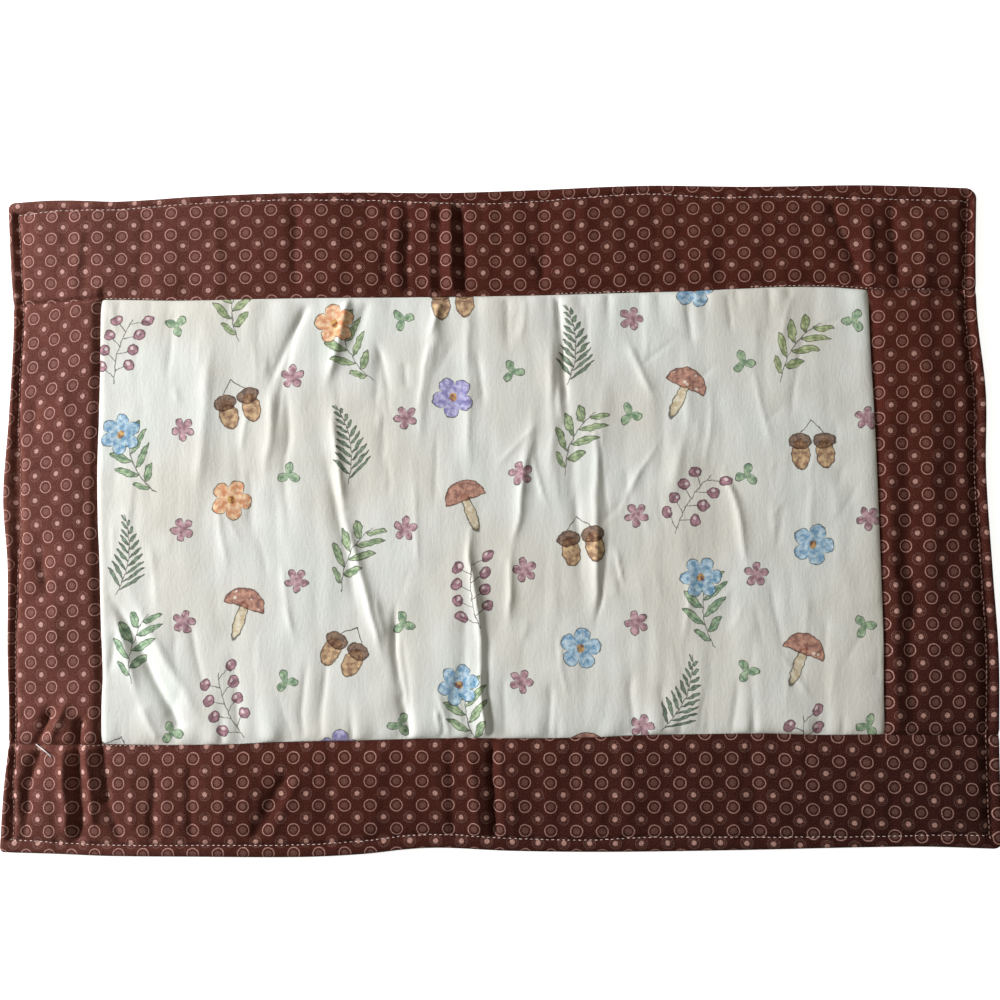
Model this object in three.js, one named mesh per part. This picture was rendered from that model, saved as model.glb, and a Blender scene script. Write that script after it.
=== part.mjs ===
import * as THREE from 'three';

// A fabric placemat lying flat: a padded cream panel framed by four brown strips, sewn to a back
// cloth, turned right side out and topstitched round its edge. Millimetres, +X to the right along
// the long side, +Y to the far long side, +Z up, origin under the middle of the mat.

// Layers
const backThickness = 1.0;
const pieceGap = 0.3;
const baseHeight = backThickness + pieceGap;
const backInset = 1.0;

// Padding and sewing
const seamHeight = 2.5;
const seamSoftness = 5;
const edgeHeight = 2.0;
const edgeRoll = 2.2;
const rimHeight = 3.5;
const stitchInset = 6.2;
const grooveDepth = 1.1;
const grooveWidth = 1.6;
const borderPuff = 4.5;
const panelPuff = 4.1;
const puffRise = 11;
const foldFade = 5;
const leastHeight = baseHeight + 0.7;

// Nominal sizes of the panel and the strips, from which their rows of points are counted
const panelLength = 364;
const panelWidth = 208;
const longBorderWidth = 50;
const shortBorderWidth = 46;

// Corners of the mat, as radii
const cornerRadius = { topLeft: 3.5, topRight: 5.5, bottomRight: 4, bottomLeft: 2.5 };

// Each long edge: how far it lies from the middle line, at places along X
const topEdge = [
  { at: -231, out: 153.4 }, { at: -208, out: 154.4 }, { at: -176, out: 153.2 },
  { at: -140, out: 154.7 }, { at: -100, out: 155.5 }, { at: -60, out: 155.0 },
  { at: -20, out: 153.7 }, { at: 25, out: 153.9 }, { at: 75, out: 154.6 },
  { at: 125, out: 153.1 }, { at: 180, out: 152.6 }, { at: 231, out: 149.9 },
];
const bottomEdge = [
  { at: -231, out: 153.2 }, { at: -205, out: 153.9 }, { at: -180, out: 154.9 },
  { at: -140, out: 155.3 }, { at: -90, out: 155.5 }, { at: -62, out: 154.3 },
  { at: -29, out: 151.4 }, { at: 10, out: 152.8 }, { at: 50, out: 153.3 },
  { at: 110, out: 152.6 }, { at: 190, out: 151.1 }, { at: 231, out: 152.1 },
];

// Each short edge: the same, at places along Y
const leftEdge = [
  { at: -156, out: 229.6 }, { at: -125, out: 227.8 }, { at: -100, out: 225.3 },
  { at: -60, out: 227.2 }, { at: -20, out: 227.8 }, { at: 12, out: 230.5 },
  { at: 50, out: 227.9 }, { at: 96, out: 225.9 }, { at: 122, out: 228.2 },
  { at: 156, out: 230.4 },
];
const rightEdge = [
  { at: -156, out: 229.4 }, { at: -110, out: 229.3 }, { at: -66, out: 230.5 },
  { at: -30, out: 229.2 }, { at: 18, out: 227.7 }, { at: 54, out: 228.8 },
  { at: 96, out: 225.9 }, { at: 156, out: 227.9 },
];

// Seams between the pieces, as places on each seam line
const topSeam = [
  { at: -231, out: 105.0 }, { at: -180, out: 105.6 }, { at: -90, out: 104.4 },
  { at: 0, out: 103.9 }, { at: 90, out: 103.9 }, { at: 180, out: 102.9 },
  { at: 231, out: 102.0 },
];
const bottomSeam = [
  { at: -231, out: 103.8 }, { at: -180, out: 103.5 }, { at: -90, out: 102.6 },
  { at: 0, out: 101.6 }, { at: 90, out: 102.2 }, { at: 180, out: 101.2 },
  { at: 231, out: 102.0 },
];
const leftSeam = [
  { at: -104, out: 180.9 }, { at: -50, out: 182.6 }, { at: 0, out: 183.7 },
  { at: 60, out: 182.9 }, { at: 106, out: 183.6 },
];
const rightSeam = [
  { at: -102, out: 178.5 }, { at: -50, out: 178.1 }, { at: 0, out: 178.8 },
  { at: 60, out: 179.6 }, { at: 103, out: 179.5 },
];

// The main creases, each a soft straight ridge (rise above 0) or trough (below 0) between two
// points of the cloth, `width` being the distance over which it fades
const panelFolds = [
  { x1: -87, y1: 99, x2: -103, y2: 62, rise: -1.1, width: 4.5 },
  { x1: -94, y1: 70, x2: -96, y2: -5, rise: -0.8, width: 4.0 },
  { x1: -101, y1: 66, x2: -105, y2: 17, rise: 0.9, width: 5.0 },
  { x1: -65, y1: 103, x2: -77, y2: 63, rise: 1.4, width: 5.0 },
  { x1: -57, y1: 100, x2: -68, y2: 78, rise: -0.9, width: 4.5 },
  { x1: -76, y1: 60, x2: -68, y2: -1, rise: 1.8, width: 5.0 },
  { x1: -68, y1: -1, x2: -48, y2: -71, rise: 1.9, width: 5.5 },
  { x1: -78, y1: 35, x2: -60, y2: -53, rise: -0.9, width: 5.0 },
  { x1: -180, y1: -33, x2: -146, y2: -95, rise: -1.5, width: 5.5 },
  { x1: -181, y1: -46, x2: -158, y2: -84, rise: 1.0, width: 5.0 },
  { x1: -170, y1: -32, x2: -137, y2: -92, rise: 1.2, width: 6.0 },
  { x1: -131, y1: 90, x2: -137, y2: 4, rise: 0.9, width: 6.5 },
  { x1: -114, y1: 26, x2: -111, y2: -6, rise: -0.7, width: 4.5 },
  { x1: -53, y1: 81, x2: -50, y2: 22, rise: -0.7, width: 4.5 },
  { x1: -26, y1: 98, x2: -33, y2: 35, rise: 1.0, width: 5.0 },
  { x1: -10, y1: 102, x2: -7, y2: 16, rise: 0.9, width: 4.5 },
  { x1: -8, y1: 16, x2: -5, y2: -101, rise: 1.7, width: 4.5 },
  { x1: -1, y1: -30, x2: 1, y2: -101, rise: -1.1, width: 4.5 },
  { x1: -13, y1: -38, x2: -12, y2: -94, rise: -0.7, width: 4.0 },
  { x1: -43, y1: -48, x2: -38, y2: -99, rise: -1.5, width: 4.5 },
  { x1: 33, y1: 101, x2: 37, y2: 55, rise: -1.0, width: 5.0 },
  { x1: 29, y1: 85, x2: 29, y2: 12, rise: 0.8, width: 5.0 },
  { x1: 19, y1: 54, x2: 7, y2: -50, rise: 1.1, width: 6.5 },
  { x1: 39, y1: 40, x2: 42, y2: -43, rise: -0.9, width: 5.0 },
  { x1: 53, y1: 58, x2: 47, y2: -50, rise: 1.1, width: 5.5 },
  { x1: 64, y1: 81, x2: 75, y2: 55, rise: 0.8, width: 4.0 },
  { x1: 94, y1: 68, x2: 84, y2: 4, rise: 0.9, width: 6.5 },
  { x1: 109, y1: 21, x2: 118, y2: -24, rise: 0.7, width: 4.5 },
];
const borderFolds = [
  { x1: -92, y1: 150, x2: -90, y2: 112, rise: -0.8, width: 4.5 },
  { x1: -42, y1: 150, x2: -42, y2: 108, rise: -0.7, width: 4.5 },
  { x1: -34, y1: 150, x2: -34, y2: 108, rise: 0.8, width: 4.5 },
  { x1: -22, y1: 149, x2: -22, y2: 107, rise: 1.4, width: 4.5 },
  { x1: -15, y1: 148, x2: -15, y2: 107, rise: -1.4, width: 4.0 },
  { x1: -8, y1: 147, x2: -8, y2: 107, rise: 1.2, width: 4.5 },
  { x1: 26, y1: 149, x2: 25, y2: 113, rise: -0.7, width: 4.5 },
  { x1: 160, y1: 144, x2: 175, y2: 110, rise: -0.9, width: 5.0 },
  { x1: 187, y1: 142, x2: 186, y2: 105, rise: -0.8, width: 6.0 },
  { x1: -203, y1: -106, x2: -203, y2: -134, rise: 1.3, width: 6.0 },
  { x1: -194, y1: -104, x2: -194, y2: -144, rise: -1.6, width: 4.5 },
  { x1: -189, y1: -104, x2: -183, y2: -136, rise: 1.1, width: 4.5 },
  { x1: -181, y1: -104, x2: -174, y2: -144, rise: -1.3, width: 5.0 },
  { x1: -98, y1: -120, x2: -111, y2: -144, rise: -1.0, width: 5.0 },
  { x1: -92, y1: -122, x2: -102, y2: -144, rise: 0.9, width: 5.0 },
  { x1: -10, y1: -106, x2: -7, y2: -145, rise: 1.2, width: 4.5 },
  { x1: 0, y1: -104, x2: 1, y2: -145, rise: -1.3, width: 4.5 },
  { x1: 8, y1: -104, x2: 9, y2: -145, rise: 0.8, width: 5.0 },
  { x1: -200, y1: -78, x2: -212, y2: -98, rise: -1.2, width: 5.5 },
  { x1: -193, y1: -83, x2: -205, y2: -101, rise: 1.1, width: 5.0 },
  { x1: -213, y1: -3, x2: -209, y2: -40, rise: -0.9, width: 5.0 },
  { x1: -214, y1: 60, x2: -214, y2: 39, rise: -0.8, width: 6.0 },
  { x1: 184, y1: 70, x2: 183, y2: -58, rise: -0.9, width: 7.0 },
  { x1: 203, y1: 90, x2: 202, y2: -60, rise: 1.0, width: 9.0 },
];

// How finely each piece is divided, and how far from an outer edge its rows of points lie
const stepAcrossFolds = 5.5;
const stepAlongFolds = 14;
const stepAlongBorder = 7;
const stepAlongBack = 20;
const edgeRows = [0, 0.9, 2.6, 6.2, 9.5];
const seamRows = [0, 2.5, 8];
const cornerRows = [0, 1.5, 5];

const colours = { brown: '#5a332c', cream: '#d9d5c6', back: '#4c3630' };
const clothFinish = { roughness: 0.92, metalness: 0 };

// A smooth line through the rows of a table, read at one place along it
function readEdge(rows, at) {
  const last = rows.length - 2;
  let i = rows.findIndex((row) => row.at > at) - 1;
  i = i < -1 ? last : Math.min(Math.max(i, 0), last);
  const p1 = rows[i];
  const p2 = rows[i + 1];
  const p0 = rows[i - 1] ?? p1;
  const p3 = rows[i + 2] ?? p2;
  const span = p2.at - p1.at;
  const t = THREE.MathUtils.clamp((at - p1.at) / span, 0, 1);
  const slope1 = ((p2.out - p0.out) / (p2.at - p0.at)) * span;
  const slope2 = ((p3.out - p1.out) / (p3.at - p1.at)) * span;
  const turn1 = slope1 - (p2.out - p1.out);
  const turn2 = p2.out - p1.out - slope2;
  return between(p1.out, p2.out, t) + t * (1 - t) * (turn1 * (1 - t) + turn2 * t);
}

// How far a rounded corner pulls an edge in, `d` from the edge that it turns into
function cornerPull(radius, d) {
  const rest = Math.max(radius - d, 0);
  return radius - Math.sqrt(Math.max(radius * radius - rest * rest, 0));
}

// The mat's four sides as signed places, with the corners rounded
const top = (x) => readEdge(topEdge, x);
const bottom = (x) => -readEdge(bottomEdge, x);

function left(y) {
  const x = -readEdge(leftEdge, y);
  return x + cornerPull(cornerRadius.topLeft, top(x) - y)
    + cornerPull(cornerRadius.bottomLeft, y - bottom(x));
}

function right(y) {
  const x = readEdge(rightEdge, y);
  return x - cornerPull(cornerRadius.topRight, top(x) - y)
    - cornerPull(cornerRadius.bottomRight, y - bottom(x));
}

const seamAt = {
  top: (x) => readEdge(topSeam, x),
  bottom: (x) => -readEdge(bottomSeam, x),
  left: (y) => -readEdge(leftSeam, y),
  right: (y) => readEdge(rightSeam, y),
};

// The height that a table of creases adds at one point
function foldHeight(folds, x, y) {
  let sum = 0;
  for (const fold of folds) {
    const dx = fold.x2 - fold.x1;
    const dy = fold.y2 - fold.y1;
    const along = ((x - fold.x1) * dx + (y - fold.y1) * dy) / (dx * dx + dy * dy);
    const t = THREE.MathUtils.clamp(along, 0, 1);
    const away = Math.hypot(x - fold.x1 - t * dx, y - fold.y1 - t * dy) / fold.width;
    sum += fold.rise * Math.exp(-away * away);
  }
  return sum;
}

const between = (from, to, t) => from + (to - from) * t;
const bump = (distance, width) => Math.exp(-((distance / width) ** 2));
const swell = (distance, reach) => 1 - Math.exp(-distance / reach);

// Top surface of a border piece, from its distances to the mat's edge and to its nearest seam
function borderHeight(x, y, toEdge, toSeam) {
  const rolled = Math.sqrt(Math.max(1 - (1 - Math.min(toEdge / edgeRoll, 1)) ** 2, 0));
  const rim = edgeHeight + (rimHeight - edgeHeight) * rolled;
  const inside = Math.max(toEdge - stitchInset, 0);
  const puff = (borderPuff - rimHeight) * swell(inside, puffRise);
  const groove = -grooveDepth * bump(toEdge - stitchInset, grooveWidth);
  const dip = (seamHeight - borderPuff) * bump(toSeam, seamSoftness);
  const folds = foldHeight(borderFolds, x, y) * swell(inside, foldFade) * swell(toSeam, foldFade);
  return Math.max(rim + puff + groove + dip + folds, Math.min(leastHeight, rim));
}

// Top surface of the panel, from its distance to the nearest seam
function panelHeight(x, y, toSeam) {
  const body = seamHeight + (panelPuff - seamHeight) * swell(toSeam, seamSoftness);
  const folds = foldHeight(panelFolds, x, y) * swell(toSeam, foldFade);
  return Math.max(body + folds, leastHeight);
}

// Places from 0 to `length` at an even step, with finer rows given at either end
function places(length, startRows, endRows, step) {
  const first = startRows[startRows.length - 1];
  const final = length - endRows[endRows.length - 1];
  const count = Math.max(Math.round((final - first) / step), 1);
  const middle = Array.from({ length: count - 1 }, (_, i) => between(first, final, (i + 1) / count));
  return [...startRows, ...middle, ...endRows.map((row) => length - row).reverse()];
}

// The places round the rim of a grid, anticlockwise from its first corner
function rimOf(columns, rows) {
  const firstRow = rows[0];
  const lastRow = rows[rows.length - 1];
  const firstColumn = columns[0];
  const lastColumn = columns[columns.length - 1];
  return [
    ...columns.slice(0, -1).map((column) => [column, firstRow]),
    ...rows.slice(0, -1).map((row) => [lastColumn, row]),
    ...columns.slice(1).reverse().map((column) => [column, lastRow]),
    ...rows.slice(1).reverse().map((row) => [firstColumn, row]),
  ];
}

// Closes an upper surface: a wall from its rim down to a flat underside
function closeBelow(points, faces, rim, base) {
  const start = points.length;
  const middle = start + rim.length;
  const under = rim.map((corner) => points[corner].clone().setZ(base));
  const centre = new THREE.Box3().setFromPoints(under).getCenter(new THREE.Vector3());
  rim.forEach((corner, k) => {
    const next = (k + 1) % rim.length;
    faces.push(start + k, start + next, rim[next], start + k, rim[next], corner);
    faces.push(start + next, start + k, middle);
  });
  return new THREE.BufferGeometry().setFromPoints([...points, ...under, centre]).setIndex(faces);
}

// A closed solid under a grid of points
function solidUnder(columns, rows, pointAt, base) {
  const across = columns.length;
  const points = rows.flatMap((row) => columns.map((column) => pointAt(column, row)));
  const faces = [];
  for (let j = 0; j < rows.length - 1; j += 1) {
    for (let i = 0; i < across - 1; i += 1) {
      const a = j * across + i;
      const [b, c, d] = [a + 1, a + across + 1, a + across];
      faces.push(...((i + j) % 2 ? [a, b, c, a, c, d] : [a, b, d, b, c, d]));
    }
  }
  const rim = rimOf(columns.map((_, i) => i), rows.map((_, j) => j));
  return closeBelow(points, faces, rim.map(([i, j]) => j * across + i), base);
}

function clothMesh(name, geometry, colour) {
  geometry.computeVertexNormals();
  const material = new THREE.MeshStandardMaterial({ color: colour, ...clothFinish });
  material.name = `${name}_cloth`;
  const mesh = new THREE.Mesh(geometry, material);
  mesh.name = name;
  return mesh;
}

const halfGap = pieceGap / 2;
const matLength = 2 * Math.max(...leftEdge.map((row) => row.out));
const matWidth = 2 * Math.max(...topEdge.map((row) => row.out));

// A place on one line of points becomes a share of that line, because the edges aren't straight
const share = (list) => list.map((place) => place / list[list.length - 1]);

// The two long strips run the whole width of the mat; `side` is 1 for the far one, -1 for the near
function longBorder(name, side) {
  const columns = share(places(matLength, edgeRows, edgeRows, stepAlongBorder));
  const rows = share(side > 0
    ? places(longBorderWidth, seamRows, edgeRows, stepAlongFolds)
    : places(longBorderWidth, edgeRows, seamRows, stepAlongFolds));
  const outer = side > 0 ? top : bottom;
  const inner = side > 0 ? seamAt.top : seamAt.bottom;
  const pointAt = (u, v) => {
    const guess = between(-matLength / 2, matLength / 2, u);
    const ends = side > 0 ? [inner(guess) + halfGap, outer(guess)] : [outer(guess), inner(guess) - halfGap];
    const y = between(ends[0], ends[1], v);
    const x = between(left(y), right(y), u);
    const toEdge = Math.min(Math.abs(outer(x) - y), x - left(y), right(y) - x);
    const z = borderHeight(x, y, toEdge, Math.abs(y - inner(x)));
    return new THREE.Vector3(x, y, z);
  };
  return clothMesh(name, solidUnder(columns, rows, pointAt, baseHeight), colours.brown);
}

// The two short strips fit between the long ones; `side` is 1 for the right, -1 for the left
function shortBorder(name, side) {
  const columns = share(side > 0
    ? places(shortBorderWidth, seamRows, edgeRows, stepAlongFolds)
    : places(shortBorderWidth, edgeRows, seamRows, stepAlongFolds));
  const rows = share(places(panelWidth, seamRows, seamRows, stepAlongBorder));
  const outer = side > 0 ? right : left;
  const inner = side > 0 ? seamAt.right : seamAt.left;
  const pointAt = (u, v) => {
    const guess = between(-panelWidth / 2, panelWidth / 2, v);
    const ends = side > 0 ? [inner(guess) + halfGap, outer(guess)] : [outer(guess), inner(guess) - halfGap];
    const x = between(ends[0], ends[1], u);
    const low = seamAt.bottom(x) + halfGap;
    const high = seamAt.top(x) - halfGap;
    const y = between(low, high, v);
    const toSeam = Math.min(Math.abs(x - inner(y)), y - low, high - y);
    const z = borderHeight(x, y, Math.abs(outer(y) - x), toSeam);
    return new THREE.Vector3(x, y, z);
  };
  return clothMesh(name, solidUnder(columns, rows, pointAt, baseHeight), colours.brown);
}

function centrePanel() {
  const columns = share(places(panelLength, seamRows, seamRows, stepAcrossFolds));
  const rows = share(places(panelWidth, seamRows, seamRows, stepAlongFolds));
  const pointAt = (u, v) => {
    const guess = between(-panelWidth / 2, panelWidth / 2, v);
    const x = between(seamAt.left(guess) + halfGap, seamAt.right(guess) - halfGap, u);
    const low = seamAt.bottom(x) + halfGap;
    const high = seamAt.top(x) - halfGap;
    const y = between(low, high, v);
    const toSeam = Math.min(x - seamAt.left(y), seamAt.right(y) - x, y - low, high - y);
    return new THREE.Vector3(x, y, panelHeight(x, y, toSeam));
  };
  return clothMesh('centre_panel', solidUnder(columns, rows, pointAt, baseHeight), colours.cream);
}

// The back cloth: one thin flat sheet, drawn in a little so that the front rolls over its edge
function backCloth() {
  const columns = share(places(matLength, cornerRows, cornerRows, stepAlongBack));
  const rows = share(places(matWidth, cornerRows, cornerRows, stepAlongBack));
  const outline = rimOf(columns, rows).map(([u, v]) => {
    const guess = between(-matLength / 2, matLength / 2, u);
    const y = between(bottom(guess) + backInset, top(guess) - backInset, v);
    const x = between(left(y) + backInset, right(y) - backInset, u);
    return new THREE.Vector3(x, y, backThickness);
  });
  const rim = outline.map((_, k) => k + 1);
  const faces = rim.flatMap((corner, k) => [0, corner, rim[(k + 1) % rim.length]]);
  const points = [new THREE.Vector3(0, 0, backThickness), ...outline];
  return clothMesh('back_cloth', closeBelow(points, faces, rim, 0), colours.back);
}

const placemat = new THREE.Group();
placemat.name = 'placemat';
placemat.add(
  backCloth(),
  centrePanel(),
  longBorder('border_top', 1),
  longBorder('border_bottom', -1),
  shortBorder('border_left', -1),
  shortBorder('border_right', 1),
);

export default placemat;
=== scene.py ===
# A padded fabric placemat lying flat on a pale floor, seen from straight above.
# The outline, folds and heights are written in millimetres and turned to metres in the meshes.
import math
from functools import partial, partialmethod

import bmesh
import bpy
import numpy as np
from mathutils import Matrix, Vector


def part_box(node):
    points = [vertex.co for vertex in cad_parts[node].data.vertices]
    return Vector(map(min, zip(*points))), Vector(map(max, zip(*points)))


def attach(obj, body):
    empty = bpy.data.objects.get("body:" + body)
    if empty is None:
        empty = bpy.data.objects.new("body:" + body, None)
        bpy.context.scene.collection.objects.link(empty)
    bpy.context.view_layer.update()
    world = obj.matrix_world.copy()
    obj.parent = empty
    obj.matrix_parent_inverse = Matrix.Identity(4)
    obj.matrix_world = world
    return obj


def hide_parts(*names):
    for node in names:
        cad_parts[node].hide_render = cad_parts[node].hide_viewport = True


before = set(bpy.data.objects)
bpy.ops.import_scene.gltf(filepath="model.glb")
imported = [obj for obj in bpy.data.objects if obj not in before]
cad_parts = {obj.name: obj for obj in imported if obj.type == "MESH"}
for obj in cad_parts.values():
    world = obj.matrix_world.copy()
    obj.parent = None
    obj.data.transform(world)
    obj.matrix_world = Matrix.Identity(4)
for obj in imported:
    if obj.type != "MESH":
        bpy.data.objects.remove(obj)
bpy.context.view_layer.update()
mm = 0.001
print("frame loaded")

# Outline of the mat. Rows: (place along the side, distance from the mat's middle line)
outline = {
    "top": [
        (-231, 153.4), (-208, 154.4), (-176, 153.2), (-140, 154.7), (-100, 155.5), (-60, 155.0),
        (-20, 153.9), (25, 154.3), (75, 155.2), (125, 153.6), (180, 153.1), (231, 150.5),
    ],
    "bottom": [
        (-231, 153.2), (-205, 153.9), (-180, 154.9), (-140, 155.3), (-90, 155.5), (-62, 154.3),
        (-29, 151.4), (10, 152.8), (50, 153.3), (110, 152.6), (190, 151.1), (231, 152.1),
    ],
    "left": [
        (-156, 229.6), (-125, 228.1), (-100, 226.0), (-60, 227.3), (-20, 228.0), (12, 230.6),
        (50, 228.5), (96, 226.8), (122, 228.6), (156, 230.6),
    ],
    "right": [
        (-156, 229.4), (-110, 229.3), (-66, 230.5), (-30, 229.2), (18, 227.7), (54, 228.8),
        (96, 225.9), (156, 227.9),
    ],
}
cornerRadius = {"topLeft": 3.5, "topRight": 5.5, "bottomRight": 4.0, "bottomLeft": 2.5}

# Seam lines between the pieces, rows as above
seams = {
    "top": [
        (-231, 103.0), (-221, 103.6), (-197, 105.0), (-184, 105.7), (-147, 104.6), (-110, 104.7),
        (-77, 104.6), (-35, 104.1), (21, 103.9), (60, 104.3), (91, 104.5), (119, 105.3), (140, 105.7),
        (161, 105.3), (176, 103.9), (192, 103.2), (210, 102.7), (231, 102.4),
    ],
    "bottom": [
        (-231, 103.5), (-206, 103.8), (-182, 103.8), (-161, 104.2), (-140, 104.3), (-119, 104.0),
        (-100, 103.2), (-63, 102.6), (-21, 101.8), (21, 102.0), (49, 101.6), (63, 100.9), (91, 100.5),
        (126, 100.3), (147, 101.0), (178, 101.0), (203, 101.2), (231, 101.5),
    ],
    "left": [
        (-106, 182.0), (-84, 181.9), (-72, 181.5), (-48, 182.7), (-19, 183.7), (0, 184.7), (24, 185.2),
        (48, 184.7), (72, 184.4), (107, 184.5),
    ],
    "right": [
        (-104, 178.2), (-84, 178.2), (-60, 178.8), (-12, 178.4), (12, 178.1), (48, 177.5), (72, 176.7),
        (90, 176.4), (106, 176.5),
    ],
}

# The topstitch wanders. Rows: (place along the side, distance in from the mat's edge)
stitchInset = {
    "top": [
        (-225, 6.6), (-186, 4.4), (-137, 3.7), (-65, 3.9), (-22, 5.2), (4, 6.1), (48, 4.8), (78, 4.3),
        (104, 5.7), (136, 5.0), (180, 6.8), (222, 6.7),
    ],
    "bottom": [
        (-224, 6.0), (-190, 5.1), (-104, 5.5), (-40, 6.1), (44, 5.5), (72, 6.5), (170, 4.9), (221, 5.8),
    ],
    "left": [
        (-147, 5.8), (-135, 5.2), (-120, 3.7), (-102, 2.8), (-66, 3.1), (-42, 3.7), (-27, 4.3), (-17, 5.1),
        (-6, 7.0), (6, 7.8), (18, 7.8), (30, 6.8), (42, 4.7), (54, 4.2), (66, 3.6), (90, 3.8), (105, 4.3),
        (126, 4.6), (147, 4.3),
    ],
    "right": [(-145, 5.8), (-101, 6.0), (-44, 5.3), (19, 5.4), (100, 5.2), (118, 4.6), (140, 4.0)],
}

# The main creases. Rows: (x1, y1, x2, y2, rise, width), a trough where rise is below 0
panelFolds = [
    (-87, 99, -103, 62, -1.1, 4.5), (-94, 70, -96, -5, -0.8, 4.0), (-101, 66, -105, 17, 0.9, 5.0),
    (-65, 103, -77, 63, 1.4, 5.0), (-57, 100, -68, 78, -0.9, 4.5), (-74, 60, -69, 5, 0.9, 3.8),
    (-69, 5, -50, -62, 0.9, 3.5), (-78, 35, -62, -45, -0.9, 4.0), (-180, -33, -146, -95, -1.5, 5.5),
    (-177, -42, -164, -85, 1.2, 4.0), (-164, -85, -156, -100, 1.0, 4.0), (-170, -32, -137, -92, 1.2, 6.0),
    (-131, 90, -137, 4, 0.9, 6.5), (-114, 26, -111, -6, -0.7, 4.5), (-53, 81, -50, 22, -0.7, 4.5),
    (-24, 100, -33, 35, 0.8, 4.5), (-10, 102, -9, 20, 0.7, 4.5), (-9.5, -6, -3, -99, 1.3, 3.2),
    (-4, -45, -0.5, -100, -0.8, 2.6), (-13, -38, -12, -94, -0.7, 4.0), (-45, -46, -44.5, -80, -1.2, 3.4),
    (-44.5, -80, -40, -99, -1.2, 3.0), (32, 101, 36.5, 50, -0.7, 3.6), (29, 85, 29, 12, 0.8, 5.0),
    (20, 50, 10.5, -16, 0.8, 4.2), (10.5, -16, 8, -50, 0.7, 4.0), (39, 40, 42, -43, -0.9, 5.0),
    (53, 58, 47, -50, 1.1, 5.5), (64, 81, 75, 55, 0.8, 4.0), (94, 68, 84, 4, 0.9, 6.5),
    (109, 21, 118, -24, 0.7, 4.5),
]
borderFolds = [
    (-92, 150, -90, 112, -0.8, 4.5), (-42.4, 150, -42.4, 108, 0.6, 3.0),
    (-37.5, 150, -37.5, 108, -1.0, 3.0), (-27, 149, -26.5, 107, 0.9, 3.2),
    (-21.8, 149, -21.8, 107, -1.0, 2.4), (-16.6, 148, -16.4, 107, 1.5, 3.0),
    (-11.6, 147, -11.6, 107, -1.5, 2.6), (26, 149, 25, 113, -0.7, 4.5), (161, 142, 174, 108, -1.2, 4.2),
    (188.7, 142, 189, 105, -1.5, 4.5), (-198.2, -104, -198.2, -142, 1.7, 3.6),
    (-191.8, -94, -193, -146, -2.3, 2.8), (-187.3, -104, -185.5, -138, 1.4, 3.0),
    (-181.2, -103, -179.5, -129, -1.8, 2.4), (-179.5, -129, -173, -146, -1.0, 3.0),
    (-210, -105, -213, -112, -1.8, 3.2), (-213, -112, -217.5, -134, -1.9, 3.6),
    (-98, -120, -111, -144, -1.3, 4.5), (-92, -122, -102, -144, 0.7, 4.5),
    (-10, -106, -7, -145, 0.8, 4.5), (-0.5, -104, 0.5, -145, -0.8, 3.0), (8, -104, 9, -145, 0.5, 5.0),
    (-206, -87, -212, -102, -2.0, 3.0), (-198, -84, -205, -101, 1.3, 3.6),
    (-213, -3, -209, -40, -0.8, 5.0), (-214, 60, -214, 39, -0.7, 6.0), (183.5, 20, 184, -95, 1.0, 4.0),
    (192, 60, 192, -95, -0.8, 5.0), (203, 90, 202, -60, 0.9, 9.0), (-53, -146, -18, -146, -1.0, 4.5),
    (-214.5, -17, -209, -31, -1.3, 3.0),
]
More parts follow.
